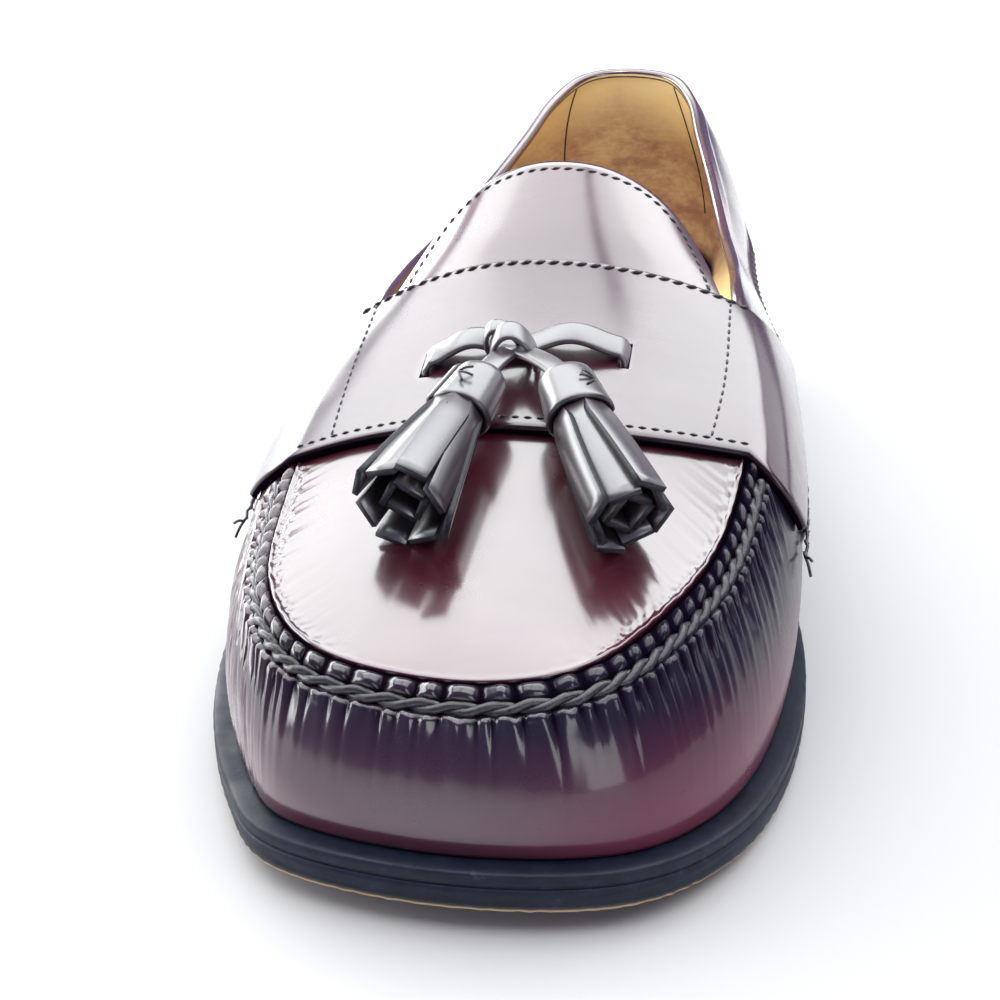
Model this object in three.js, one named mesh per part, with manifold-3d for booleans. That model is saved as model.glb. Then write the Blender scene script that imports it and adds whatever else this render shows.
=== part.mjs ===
// Tassel loafer, right foot, standing empty on its sole.
// Millimetres. The toe points to -Y, the inner (medial) side of the foot is +X, +Z is up.

import * as THREE from 'three';
import { mergeVertices } from 'three/addons/utils/BufferGeometryUtils.js';
import Module from 'manifold-3d';

const wasm = await Module();
wasm.setup();

// Driving sizes of the last and the shell
const LENGTH = 304;              // outsole, heel to toe
const BALL_WIDTH = 117;          // outsole, widest, over the welt
const BACK_HEIGHT = 85.5;        // floor to top edge at the back of the heel
const COLLAR_HEIGHT = 61.5;      // floor to the lowest part of the top edge
const CORNER_HEIGHT = 65.5;      // floor to the front corners of the opening
const INSTEP_HEIGHT = 70.5;      // floor to the vamp's ridge under the strap's rear edge
const TOE_HEIGHT = 34.5;         // floor to the apron seam at the toe
const HEEL_HEIGHT = 23;          // floor to the outsole's underside at the heel seat
const TOE_SPRING = 4;            // lift of the outsole's underside at the toe
const UPPER_WALL = 2.5;          // leather and lining together
const GAP = 0.3;                 // between pieces that meet

// Bottom stock
const OUTSOLE_THICKNESS = 4.2;
const OUTSOLE_EDGE_ROUND = 0.7;
const WELT_THICKNESS = 2.6;
const WELT_STEP = 0.2;           // welt edge set in from the outsole edge
const WELT_EDGE_ROUND = 0.3;     // lower corner of the welt's edge
const WELT_EDGE_SLOPE = 0.9;     // how far the welt's upper corner slopes in
const WELT_MARGIN = 3.4;         // outsole edge to the foot of the upper, forepart
const HEEL_MARGIN = 2;           // the same round the heel
const INSOLE_THICKNESS = 3;
const TOP_LIFT_THICKNESS = 6;
const HEEL_BREAST = 0.27;        // share of the length where the heel block ends
const HEEL_TAPER = 2.2;          // how far the heel block narrows to the floor
const HEEL_SET_IN = 0.6;         // heel block set in from the outsole at the heel seat
const HEEL_HOLLOW = 0.25;        // how far the heel block's sides curve in
const TOP_LIFT_ROUND = 0.5;
const TUCK = 1.6;                // how far the wall turns in at its foot
const TUCK_RISE = 0.2;           // share of the wall's rise that turns in
const WALL_CUT = 0.93;           // share of the wall's round curve below the rim

// Leather overlays
const APRON_RIDGE = 1.7;         // height of the raised apron seam
const SIDE_RIDGE = 1.3;          // height of the raised side seam
const STRAP_THICKNESS = 1.7;
const TONGUE_THICKNESS = 1.8;
const SLOT_LENGTH = 7;
const SLOT_WIDTH = 2;
const RIM_ROUND = 0.7;           // crown of the turned top edge

// Lace and tassels
const LACE_WIDTH = 5.5;
const LACE_THICKNESS = 1.4;
const LACE_ARCH = 2.4;
const LACE_END_WIDTH = 4.4;      // the ends are folded narrower
const KNOT_WIDTH = 10;
const KNOT_HEIGHT = 6.5;
const CAP_DIAMETER = 11.5;
const CAP_LENGTH = 10.9;
const CAP_WALL = 1.1;
const CAP_RECESS = 1.2;
const CAP_SIDES = 14;
const STRIP_COUNT = 8;
const STRIP_WIDTH = 4.6;
const STRIP_THICKNESS = 1.3;
const STRIP_LENGTH = 25.5;
const STRIP_SPREAD = 7;          // ring radius of the strips at their free ends
const STRIP_BEND = 0.3;          // share of the strips' length before they bend
const STRIP_STEPS = 3;
const STRIP_STAGGER = 1.3;       // every second strip lies this much further in

// Places along the shoe, as shares of the length from the heel
const APRON_FRONT = 0.953;       // apron seam at the toe
const BACK_EDGE = 0.018;         // top edge at the back
const FAN_FRONT = 0.868;         // foremost point of the vamp's centre ridge
const THROAT = 0.645;            // front edge of the opening, under the strap
const STRAP_FRONT = 0.772;       // strap's edges on the centre ridge
const STRAP_REAR = 0.630;
const TONGUE_TOP = 0.547;

// Outline of the outsole: angle round the outline (0 heel, 180 toe),
// distance from the shoe's long axis as a share of the ball width.
const SOLE_SECTIONS = [
  { angle: 0, lateral: 0, medial: 0 },
  { angle: 15, lateral: 0.158, medial: 0.158 },
  { angle: 30, lateral: 0.275, medial: 0.275 },
  { angle: 45, lateral: 0.306, medial: 0.304 },
  { angle: 60, lateral: 0.300, medial: 0.286 },
  { angle: 75, lateral: 0.322, medial: 0.268 },
  { angle: 90, lateral: 0.388, medial: 0.342 },
  { angle: 105, lateral: 0.456, medial: 0.480 },
  { angle: 120, lateral: 0.440, medial: 0.525 },
  { angle: 135, lateral: 0.372, medial: 0.504 },
  { angle: 150, lateral: 0.272, medial: 0.433 },
  { angle: 165, lateral: 0.160, medial: 0.300 },
  { angle: 180, lateral: -0.068, medial: 0.068 },
];

// Upper edge of the side walls: the apron seam in front, the top edge of the opening behind.
// Widths are shares of the ball width.
const RIM_SECTIONS = [
  { angle: 0, lateral: 0, medial: 0 },
  { angle: 15, lateral: 0.112, medial: 0.131 },
  { angle: 30, lateral: 0.172, medial: 0.194 },
  { angle: 45, lateral: 0.205, medial: 0.230 },
  { angle: 60, lateral: 0.248, medial: 0.278 },
  { angle: 75, lateral: 0.290, medial: 0.326 },
  { angle: 90, lateral: 0.295, medial: 0.363 },
  { angle: 105, lateral: 0.262, medial: 0.382 },
  { angle: 120, lateral: 0.278, medial: 0.415 },
  { angle: 135, lateral: 0.268, medial: 0.393 },
  { angle: 150, lateral: 0.226, medial: 0.322 },
  { angle: 165, lateral: 0.122, medial: 0.222 },
  { angle: 180, lateral: -0.068, medial: 0.068 },
];

// Height of that edge above the floor.
const RIM_HEIGHTS = [
  { angle: 0, lateral: BACK_HEIGHT, medial: BACK_HEIGHT },
  { angle: 15, lateral: 0.985 * BACK_HEIGHT, medial: 0.988 * BACK_HEIGHT },
  { angle: 30, lateral: 0.930 * BACK_HEIGHT, medial: 0.940 * BACK_HEIGHT },
  { angle: 45, lateral: 0.850 * BACK_HEIGHT, medial: 0.868 * BACK_HEIGHT },
  { angle: 60, lateral: 1.060 * COLLAR_HEIGHT, medial: 1.095 * COLLAR_HEIGHT },
  { angle: 75, lateral: 0.965 * COLLAR_HEIGHT, medial: COLLAR_HEIGHT },
  { angle: 90, lateral: 0.955 * COLLAR_HEIGHT, medial: 1.010 * COLLAR_HEIGHT },
  { angle: 105, lateral: 0.925 * CORNER_HEIGHT, medial: 0.985 * CORNER_HEIGHT },
  { angle: 120, lateral: 0.775 * CORNER_HEIGHT, medial: 0.815 * CORNER_HEIGHT },
  { angle: 135, lateral: 1.215 * TOE_HEIGHT, medial: 1.215 * TOE_HEIGHT },
  { angle: 150, lateral: 1.100 * TOE_HEIGHT, medial: 1.090 * TOE_HEIGHT },
  { angle: 165, lateral: 1.025 * TOE_HEIGHT, medial: 1.020 * TOE_HEIGHT },
  { angle: 180, lateral: TOE_HEIGHT, medial: TOE_HEIGHT },
];

// Shape of the side wall: fullness of its curve, and how far it bulges (share of the ball width).
const WALL_SECTIONS = [
  { angle: 0, fullLateral: 1.8, fullMedial: 1.8, bulgeLateral: 0.016, bulgeMedial: 0.016 },
  { angle: 30, fullLateral: 1.9, fullMedial: 1.8, bulgeLateral: 0.034, bulgeMedial: 0.036 },
  { angle: 60, fullLateral: 1.5, fullMedial: 1.4, bulgeLateral: 0.062, bulgeMedial: 0.092 },
  { angle: 90, fullLateral: 1.6, fullMedial: 2.3, bulgeLateral: 0.046, bulgeMedial: 0.142 },
  { angle: 105, fullLateral: 1.8, fullMedial: 2.5, bulgeLateral: 0.008, bulgeMedial: 0.046 },
  { angle: 120, fullLateral: 2.0, fullMedial: 2.8, bulgeLateral: 0.006, bulgeMedial: 0.016 },
  { angle: 150, fullLateral: 2.1, fullMedial: 2.4, bulgeLateral: 0.004, bulgeMedial: 0.004 },
  { angle: 180, fullLateral: 2.3, fullMedial: 2.3, bulgeLateral: 0, bulgeMedial: 0 },
];

// Underside of the outsole: station is a share of the length from the heel.
const SOLE_HEIGHTS = [
  { station: 0, height: HEEL_HEIGHT },
  { station: 0.12, height: HEEL_HEIGHT },
  { station: 0.24, height: 0.965 * HEEL_HEIGHT },
  { station: 0.34, height: 0.80 * HEEL_HEIGHT },
  { station: 0.44, height: 0.47 * HEEL_HEIGHT },
  { station: 0.53, height: 0.17 * HEEL_HEIGHT },
  { station: 0.60, height: 0.03 * HEEL_HEIGHT },
];
const FLAT_REAR = 0.64;          // the forepart lies on the floor between these stations
const FLAT_FRONT = 0.78;

// Centre ridge of the vamp and tongue.
const CREST_HEIGHTS = [
  { station: APRON_FRONT, height: TOE_HEIGHT },
  { station: 0.888, height: 0.575 * INSTEP_HEIGHT },
  { station: 0.83, height: 0.655 * INSTEP_HEIGHT },
  { station: 0.77, height: 0.745 * INSTEP_HEIGHT },
  { station: 0.704, height: 0.858 * INSTEP_HEIGHT },
  { station: 0.638, height: INSTEP_HEIGHT },
  { station: 0.598, height: 1.110 * INSTEP_HEIGHT },
  { station: TONGUE_TOP, height: 1.248 * INSTEP_HEIGHT },
];
const CREST_ARCH = 2.1;          // how round the vamp is across

// Mesh density
const REAR_STEPS = 21;
const FRONT_STEPS = 20;
const TOP_ROWS = 6;
const WALL_ROWS = [0, 0.06, 0.16, 0.28, 0.40, 0.50, 0.54, 0.58, 0.68, 0.79, 0.88, 0.94, 1];
const SIDE_SEAM_ROW = 0.54;
const RIDGE_SPACING = 1.1;       // the meridians stand closer at the toe
const MERIDIAN_SPACING = 1.25;   // and their points closer at the seam

// The two sides of the shoe
const LATERAL = -1;
const MEDIAL = 1;

const rad = THREE.MathUtils.degToRad;
const deg = THREE.MathUtils.radToDeg;
const clamp = THREE.MathUtils.clamp;
const smoothstep = THREE.MathUtils.smoothstep;

// A smooth curve through one column of a table. Ends are mirrored: 'even' columns meet the
// end level, 'odd' ones run straight through it.
function columnCurve(rows, key, column, ends) {
  const at = rows.map((row) => row[key]);
  const value = rows.map((row) => row[column]);
  const last = rows.length - 1;
  const odd = ends === 'odd';
  at.unshift(2 * at[0] - at[1]);
  value.unshift(odd ? 2 * value[0] - value[1] : value[1]);
  at.push(2 * at[last + 1] - at[last]);
  value.push(odd ? 2 * value[last + 1] - value[last] : value[last]);
  const slope = (i) => (value[i + 1] - value[i - 1]) / (at[i + 1] - at[i - 1]);
  const rising = at[1] < at[2];
  return (x) => {
    let i = 1;
    while (i < last && (rising ? x > at[i + 1] : x < at[i + 1])) i += 1;
    const span = at[i + 1] - at[i];
    const t = clamp((x - at[i]) / span, 0, 1);
    const t2 = t * t;
    const t3 = t2 * t;
    return (2 * t3 - 3 * t2 + 1) * value[i] + (t3 - 2 * t2 + t) * span * slope(i)
      + (3 * t2 - 2 * t3) * value[i + 1] + (t3 - t2) * span * slope(i + 1);
  };
}

const sideCurve = (rows, lateral, medial, ends) => {
  const curves = {
    [LATERAL]: columnCurve(rows, 'angle', lateral, ends),
    [MEDIAL]: columnCurve(rows, 'angle', medial, ends),
  };
  return (side, angle) => curves[side](angle);
};

const soleWidth = sideCurve(SOLE_SECTIONS, 'lateral', 'medial', 'odd');
const rimWidth = sideCurve(RIM_SECTIONS, 'lateral', 'medial', 'odd');
const rimHeight = sideCurve(RIM_HEIGHTS, 'lateral', 'medial', 'even');
const wallFullness = sideCurve(WALL_SECTIONS, 'fullLateral', 'fullMedial', 'even');
const wallBulge = sideCurve(WALL_SECTIONS, 'bulgeLateral', 'bulgeMedial', 'even');
const waistHeight = columnCurve(SOLE_HEIGHTS, 'station', 'height', 'even');
const crestHeight = columnCurve(CREST_HEIGHTS, 'station', 'height', 'odd');

const stationY = (station) => LENGTH * (0.5 - station);
const stationOf = (y) => 0.5 - y / LENGTH;

// Height of the outsole's underside.
function soleBottom(y) {
  const station = stationOf(y);
  if (station > FLAT_FRONT) {
    return TOE_SPRING * ((station - FLAT_FRONT) / (1 - FLAT_FRONT)) ** 2;
  }
  if (station >= FLAT_REAR) return 0;
  const last = SOLE_HEIGHTS.at(-1);
  if (station > last.station) {
    return last.height * ((FLAT_REAR - station) / (FLAT_REAR - last.station)) ** 2;
  }
  return waistHeight(station);
}

const weltBottom = (y) => soleBottom(y) + OUTSOLE_THICKNESS + GAP;
const footBed = (y) => weltBottom(y) + WELT_THICKNESS + GAP;

// A point of the outsole's outline, and its outward direction.
function solePoint(side, angle) {
  return new THREE.Vector2(side * BALL_WIDTH * soleWidth(side, angle), LENGTH / 2 * Math.cos(rad(angle)));
}

function soleOutward(side, angle) {
  if (angle < 0.01) return new THREE.Vector2(0, 1);
  if (angle > 179.99) return new THREE.Vector2(0, -1);
  const step = 0.5;
  const back = solePoint(side, Math.max(angle - step, 0));
  const ahead = solePoint(side, Math.min(angle + step, 180));
  const along = ahead.sub(back).normalize();
  return new THREE.Vector2(side * -along.y, side * along.x);
}

const RIM_REAR_Y = stationY(BACK_EDGE);
const RIM_FRONT_Y = stationY(APRON_FRONT);
const RIM_MIDDLE = (RIM_REAR_Y + RIM_FRONT_Y) / 2;
const RIM_REACH = (RIM_REAR_Y - RIM_FRONT_Y) / 2;
const rimAngle = (y) => deg(Math.acos(clamp((y - RIM_MIDDLE) / RIM_REACH, -1, 1)));

function rimPoint(side, angle) {
  return new THREE.Vector3(
    side * BALL_WIDTH * rimWidth(side, angle),
    RIM_MIDDLE + RIM_REACH * Math.cos(rad(angle)),
    rimHeight(side, angle),
  );
}

const footMargin = (angle) => HEEL_MARGIN + (WELT_MARGIN - HEEL_MARGIN) * smoothstep(angle, 60, 110);

// A point of the side wall: rise 0 at the foot, 1 at the rim.
function wallPoint(side, angle, rise) {
  const outward = soleOutward(side, angle);
  const foot = solePoint(side, angle).addScaledVector(outward, -footMargin(angle));
  const footHeight = footBed(foot.y);
  const rim = rimPoint(side, angle);
  const fullness = wallFullness(side, angle);
  const curve = (h) => (1 - h ** fullness) ** (1 / fullness);
  const end = curve(WALL_CUT);
  const reach = 1 - (curve(rise * WALL_CUT) - end) / (1 - end);
  const bulge = BALL_WIDTH * wallBulge(side, angle) * Math.sin(Math.PI * rise ** 0.9);
  const tuck = TUCK * Math.max(0, 1 - rise / TUCK_RISE) ** 2;
  return new THREE.Vector3(
    foot.x + (rim.x - foot.x) * reach + outward.x * (bulge - tuck),
    foot.y + (rim.y - foot.y) * reach + outward.y * (bulge - tuck),
    footHeight + (rim.z - footHeight) * rise,
  );
}

// A point of the vamp's top: across 0 on the centre ridge, 1 on the apron seam.
function centreX(y) {
  const angle = rimAngle(y);
  return (rimPoint(LATERAL, angle).x + rimPoint(MEDIAL, angle).x) / 2;
}

function topHeight(x, y) {
  const angle = rimAngle(y);
  const middle = centreX(y);
  const side = x < middle ? LATERAL : MEDIAL;
  const edge = rimPoint(side, angle);
  const across = Math.min(Math.abs((x - middle) / Math.max(Math.abs(edge.x - middle), 0.01)), 1.3);
  const crest = crestHeight(stationOf(y));
  return crest - (crest - edge.z) * across ** CREST_ARCH;
}

function topPoint(side, y, across) {
  const middle = centreX(y);
  const x = middle + (rimPoint(side, rimAngle(y)).x - middle) * across;
  return new THREE.Vector3(x, y, topHeight(x, y));
}

// Any point of the upper: rise 0 to 1 is wall, 1 to 2 is the vamp's top up to its centre ridge.
function upperPoint(side, y, rise) {
  return rise <= 1 ? wallPoint(side, rimAngle(y), rise) : topPoint(side, y, 2 - rise);
}

// Triangle lists to one closed geometry.
class Hull {
  constructor() {
    this.points = [];
    this.faces = [];
  }

  add(point) {
    this.points.push(point);
    return this.points.length - 1;
  }

  addAll(points) {
    return points.map((point) => this.add(point));
  }

  quad(a, b, c, d) {
    this.faces.push([a, b, c], [a, c, d]);
  }

  // Joins two rows of equal length, the second one above the first seen from outside.
  band(lower, upper, closed = true) {
    const count = closed ? lower.length : lower.length - 1;
    for (let i = 0; i < count; i += 1) {
      const next = (i + 1) % lower.length;
      this.quad(lower[i], lower[next], upper[next], upper[i]);
    }
  }

  // Closes a ring that is symmetric in its numbering with strips across it.
  cap(ring, up) {
    const half = Math.floor(ring.length / 2);
    for (let i = 0; i < half; i += 1) {
      const a = ring[i];
      const b = ring[i + 1];
      const c = ring[ring.length - i - 1];
      const d = ring[(ring.length - i) % ring.length];
      if (up) this.quad(a, b, c, d);
      else this.quad(d, c, b, a);
    }
  }

  geometry() {
    const position = [];
    for (const face of this.faces) {
      for (const index of face) position.push(...this.points[index].toArray());
    }
    const raw = new THREE.BufferGeometry();
    raw.setAttribute('position', new THREE.Float32BufferAttribute(position, 3));
    return cleaned(raw);
  }
}

// Merges shared corners and drops the triangles that closed up.
function cleaned(raw) {
  const bare = new THREE.BufferGeometry();
  bare.setAttribute('position', raw.getAttribute('position'));
  if (raw.index) bare.setIndex(raw.index);
  const merged = mergeVertices(bare, 1e-4);
  const kept = [];
  const index = merged.index.array;
  for (let i = 0; i < index.length; i += 3) {
    const [a, b, c] = [index[i], index[i + 1], index[i + 2]];
    if (a !== b && b !== c && c !== a) kept.push(a, b, c);
  }
  merged.setIndex(kept);
  return merged;
}

// Solids that join and cut.
function toSolid(geometry) {
  const shape = cleaned(geometry);
  return new wasm.Manifold(new wasm.Mesh({
    numProp: 3,
    vertProperties: new Float32Array(shape.getAttribute('position').array),
    triVerts: new Uint32Array(shape.index.array),
  }));
}

function fromSolid(solid) {
  const mesh = solid.getMesh();
  const geometry = new THREE.BufferGeometry();
  geometry.setAttribute('position', new THREE.BufferAttribute(new Float32Array(mesh.vertProperties), 3));
  geometry.setIndex(new THREE.BufferAttribute(new Uint32Array(mesh.triVerts), 1));
  return geometry;
}

// The columns that every ring of the shoe shares, as side and angle, from the heel's centre
// along the outer side to the toe and back along the inner side.
const THROAT_ANGLE = rimAngle(stationY(THROAT));
function sideAngles() {
  const angles = [];
  for (let i = 0; i <= REAR_STEPS; i += 1) angles.push(THROAT_ANGLE * i / REAR_STEPS);
  for (let i = 1; i <= FRONT_STEPS; i += 1) {
    angles.push(THROAT_ANGLE + (180 - THROAT_ANGLE) * i / FRONT_STEPS);
  }
  return angles;
}

function ringColumns(angles) {
  const out = angles.map((angle) => ({ side: LATERAL, angle }));
  const back = angles.slice(1, -1).reverse().map((angle) => ({ side: MEDIAL, angle }));
  return out.concat(back);
}

const ANGLES = sideAngles();
const COLUMNS = ringColumns(ANGLES);
const TOE_COLUMN = ANGLES.length - 1;

// One ring of a sole layer, set in from the outsole's outline.
function soleRing(columns, inset, height) {
  return columns.map(({ side, angle }) => {
    const point = solePoint(side, angle).addScaledVector(soleOutward(side, angle), -inset(angle));
    return new THREE.Vector3(point.x, point.y, height(point.y));
  });
}

function layer(columns, rings) {
  const hull = new Hull();
  const rows = rings.map(({ inset, height }) => hull.addAll(soleRing(columns, inset, height)));
  for (let i = 1; i < rows.length; i += 1) hull.band(rows[i - 1], rows[i]);
  hull.cap(rows[0], false);
  hull.cap(rows.at(-1), true);
  return hull.geometry();
}

function makeOutsole() {
  const round = OUTSOLE_EDGE_ROUND;
  return layer(COLUMNS, [
    { inset: () => round, height: soleBottom },
    { inset: () => 0, height: (y) => soleBottom(y) + round },
    { inset: () => 0, height: (y) => soleBottom(y) + OUTSOLE_THICKNESS - round / 2 },
    { inset: () => round / 2, height: (y) => soleBottom(y) + OUTSOLE_THICKNESS },
  ]);
}

function makeWelt() {
  const edge = (extra) => (angle) => Math.min(WELT_STEP, footMargin(angle) / 3) + extra;
  return layer(COLUMNS, [
    { inset: edge(WELT_EDGE_ROUND), height: weltBottom },
    { inset: edge(0), height: (y) => weltBottom(y) + WELT_EDGE_ROUND },
    { inset: edge(0), height: (y) => weltBottom(y) + WELT_THICKNESS - WELT_EDGE_ROUND },
    { inset: edge(WELT_EDGE_SLOPE), height: (y) => weltBottom(y) + WELT_THICKNESS },
  ]);
}

function makeInsole() {
  const inset = (angle) => footMargin(angle) + TUCK + UPPER_WALL + 2 * GAP;
  return layer(COLUMNS, [
    { inset, height: footBed },
    { inset, height: (y) => footBed(y) + INSOLE_THICKNESS },
  ]);
}

// The heel block is the rear of the outsole's outline, narrowing to the floor.
const HEEL_STEPS = 12;
const BREAST_ANGLE = deg(Math.acos((0.5 - HEEL_BREAST) * 2));
function heelColumns() {
  const angles = [];
  for (let i = 0; i <= HEEL_STEPS; i += 1) angles.push(BREAST_ANGLE * i / HEEL_STEPS);
  const out = angles.map((angle) => ({ side: LATERAL, angle }));
  const back = angles.slice(1).reverse().map((angle) => ({ side: MEDIAL, angle }));
  return out.concat(back);
}

function heelLayer(levels) {
  const hull = new Hull();
  const columns = heelColumns();
  const breast = stationY(HEEL_BREAST);
  const rows = levels.map(({ inset, height }) => hull.addAll(
    soleRing(columns, () => inset, height).map((point) => {
      const y = Math.max(point.y, breast + inset);
      return new THREE.Vector3(point.x, y, height(y));
    }),
  ));
  rows.slice(1).forEach((row, i) => hull.band(rows[i], row));
  hull.cap(rows[0], false);
  hull.cap(rows.at(-1), true);
  return hull.geometry();
}

const heelInset = (height) => HEEL_SET_IN + HEEL_TAPER * (1 - height / HEEL_HEIGHT);

function makeHeelStack() {
  const base = TOP_LIFT_THICKNESS + GAP;
  const middle = (base + HEEL_HEIGHT) / 2;
  return heelLayer([
    { inset: heelInset(base), height: () => base },
    { inset: heelInset(middle) + HEEL_HOLLOW, height: () => middle },
    { inset: heelInset(HEEL_HEIGHT), height: (y) => soleBottom(y) - GAP },
  ]);
}

function makeTopLift() {
  return heelLayer([
    { inset: heelInset(0) + TOP_LIFT_ROUND, height: () => 0 },
    { inset: heelInset(0), height: () => TOP_LIFT_ROUND },
    { inset: heelInset(TOP_LIFT_THICKNESS), height: () => TOP_LIFT_THICKNESS },
  ]);
}

// The strap's front corners over the apron seam: it lies a little askew, its outer side ahead.
const STRAP_CORNERS = { [LATERAL]: 0.780, [MEDIAL]: 0.761 };

// Height of the raised seams on the upper's outer face. The apron seam comes out from under the
// strap, the side seam fades at both ends.
const APRON_FADE = 0.03;
function apronRidge(side, y) {
  const start = STRAP_CORNERS[side];
  return APRON_RIDGE * smoothstep(stationOf(y), start, start + APRON_FADE);
}

const SIDE_SEAM_FRONT = 0.735;
const SIDE_SEAM_REAR = 0.17;
const SIDE_FADE_FRONT = 0.02;
const SIDE_FADE_REAR = 0.12;
function sideRidge(y) {
  const station = stationOf(y);
  const fadeRear = smoothstep(station, SIDE_SEAM_REAR, SIDE_SEAM_REAR + SIDE_FADE_REAR);
  const fadeFront = 1 - smoothstep(station, SIDE_SEAM_FRONT, SIDE_SEAM_FRONT + SIDE_FADE_FRONT);
  return SIDE_RIDGE * fadeRear * fadeFront;
}

// Averages the face directions round each corner of a surface.
function cornerNormals(points, faces) {
  const normals = points.map(() => new THREE.Vector3());
  const edge1 = new THREE.Vector3();
  const edge2 = new THREE.Vector3();
  for (const [a, b, c] of faces) {
    edge1.subVectors(points[b], points[a]);
    edge2.subVectors(points[c], points[a]);
    edge1.cross(edge2);
    for (const index of [a, b, c]) normals[index].add(edge1);
  }
  return normals.map((normal) => normal.normalize());
}

// The upper: outer skin and inner skin over the same grid, joined at the foot, the top edge
// and the throat.
function makeUpper() {
  const skin = new Hull();
  const raise = [];
  const put = (point, ridge = 0) => {
    raise.push(ridge);
    return skin.add(point);
  };
  const rows = WALL_ROWS.map((rise) => COLUMNS.map(({ side, angle }) => {
    const point = wallPoint(side, angle, rise);
    const seam = rise === SIDE_SEAM_ROW ? sideRidge(point.y) : 0;
    const apron = rise === 1 ? apronRidge(side, point.y) : 0;
    return put(point, seam + apron);
  }));
  for (let i = 1; i < rows.length; i += 1) skin.band(rows[i - 1], rows[i]);

  // Vamp top: meridians from the apron seam to the centre ridge, in pairs from the toe back.
  const rim = rows.at(-1);
  const count = COLUMNS.length;
  const rimOf = (side, j) => rim[(TOE_COLUMN + side * j + count) % count];
  const fan = stationY(FAN_FRONT);
  const throat = stationY(THROAT);
  const lines = { [LATERAL]: [], [MEDIAL]: [] };
  for (let j = 0; j <= FRONT_STEPS; j += 1) {
    const ridgeY = fan + (throat - fan) * (j / FRONT_STEPS) ** RIDGE_SPACING;
    const ridge = put(new THREE.Vector3(centreX(ridgeY), ridgeY, crestHeight(stationOf(ridgeY))));
    for (const side of [LATERAL, MEDIAL]) {
      if (j === 0 && side === MEDIAL) {
        lines[MEDIAL].push(lines[LATERAL][0]);
        continue;
      }
      const line = [rimOf(side, j)];
      const start = skin.points[line[0]];
      const end = skin.points[ridge];
      for (let k = 1; k < TOP_ROWS; k += 1) {
        const t = (k / TOP_ROWS) ** MERIDIAN_SPACING;
        const x = start.x + (end.x - start.x) * t;
        const y = start.y + (end.y - start.y) * t;
        line.push(put(new THREE.Vector3(x, y, topHeight(x, y))));
      }
      line.push(ridge);
      lines[side].push(line);
    }
  }
  for (let j = 0; j < FRONT_STEPS; j += 1) {
    for (let k = 0; k < TOP_ROWS; k += 1) {
      const near = lines[LATERAL][j];
      const far = lines[LATERAL][j + 1];
      skin.quad(far[k], near[k], near[k + 1], far[k + 1]);
      const nearM = lines[MEDIAL][j];
      const farM = lines[MEDIAL][j + 1];
      skin.quad(nearM[k], farM[k], farM[k + 1], nearM[k + 1]);
    }
  }

  const normals = cornerNormals(skin.points, skin.faces);
  const hull = new Hull();
  skin.points.forEach((point, i) => hull.add(point.clone().addScaledVector(normals[i], raise[i])));
  const foot = new Set(rows[0]);
  const inner = skin.points.map((point, i) => {
    const inside = point.clone().addScaledVector(normals[i], -UPPER_WALL);
    if (foot.has(i)) inside.z = point.z;
    return hull.add(inside);
  });
  for (const [a, b, c] of skin.faces) hull.faces.push([a, b, c], [inner[a], inner[c], inner[b]]);
  hull.band(rows[0].map((i) => inner[i]), rows[0]);

  // The open edge: round the collar, then across the throat. Its crown is a row of its own.
  const edge = [];
  for (let i = 0; i <= 2 * REAR_STEPS; i += 1) edge.push(rim[(TOE_COLUMN + FRONT_STEPS + i) % count]);
  edge.push(...lines[LATERAL][FRONT_STEPS].slice(1));
  edge.push(...lines[MEDIAL][FRONT_STEPS].slice(1, -1).reverse());
  const along = new THREE.Vector3();
  const crown = edge.map((index, i) => {
    const outer = hull.points[index];
    const inside = hull.points[inner[index]];
    along.subVectors(hull.points[edge[(i + 1) % edge.length]], hull.points[edge.at(i - 1)]).normalize();
    const across = new THREE.Vector3().subVectors(inside, outer);
    const lift = new THREE.Vector3().crossVectors(along, across).normalize();
    return hull.add(outer.clone().add(inside).multiplyScalar(0.5).addScaledVector(lift, RIM_ROUND));
  });
  hull.band(edge, crown);
  hull.band(crown, edge.map((index) => inner[index]));
  return hull.geometry();
}

// A sheet of leather over a grid of surface points: rows run along it, columns across.
// Low and high are its two faces' distances from the surface.
function sheet(grid, low, high) {
  const skin = new Hull();
  const rows = grid.map((row) => skin.addAll(row));
  for (let i = 1; i < rows.length; i += 1) skin.band(rows[i - 1], rows[i], false);
  const normals = cornerNormals(skin.points, skin.faces);
  const hull = new Hull();
  skin.points.forEach((point, i) => hull.add(point.clone().addScaledVector(normals[i], high)));
  const under = skin.points.map((point, i) => hull.add(point.clone().addScaledVector(normals[i], low)));
  for (const [a, b, c] of skin.faces) hull.faces.push([a, b, c], [under[a], under[c], under[b]]);
  const border = [
    ...rows[0],
    ...rows.slice(1, -1).map((row) => row.at(-1)),
    ...[...rows.at(-1)].reverse(),
    ...rows.slice(1, -1).map((row) => row[0]).reverse(),
  ];
  hull.band(border.map((i) => under[i]), border);
  return hull.geometry();
}

// The saddle strap: over the vamp from side seam to side seam, its wings reaching back.
const STRAP_LOW_RISE = 0.63;
const WING_FRONT = 0.733;
const WING_REAR = 0.535;
const STRAP_LINES = 8;
function strapPlaces() {
  const wall = [STRAP_LOW_RISE, 0.70, 0.77, 0.83, 0.88, 0.92, 0.96];
  const top = [1, 1.06, 1.14, 1.24, 1.38, 1.54, 1.70, 1.85];
  const lateral = [...wall, ...top].map((rise) => ({ side: LATERAL, rise }));
  const medial = [...wall, ...top].reverse().map((rise) => ({ side: MEDIAL, rise }));
  return [...lateral, { side: MEDIAL, rise: 2 }, ...medial];
}

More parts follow.
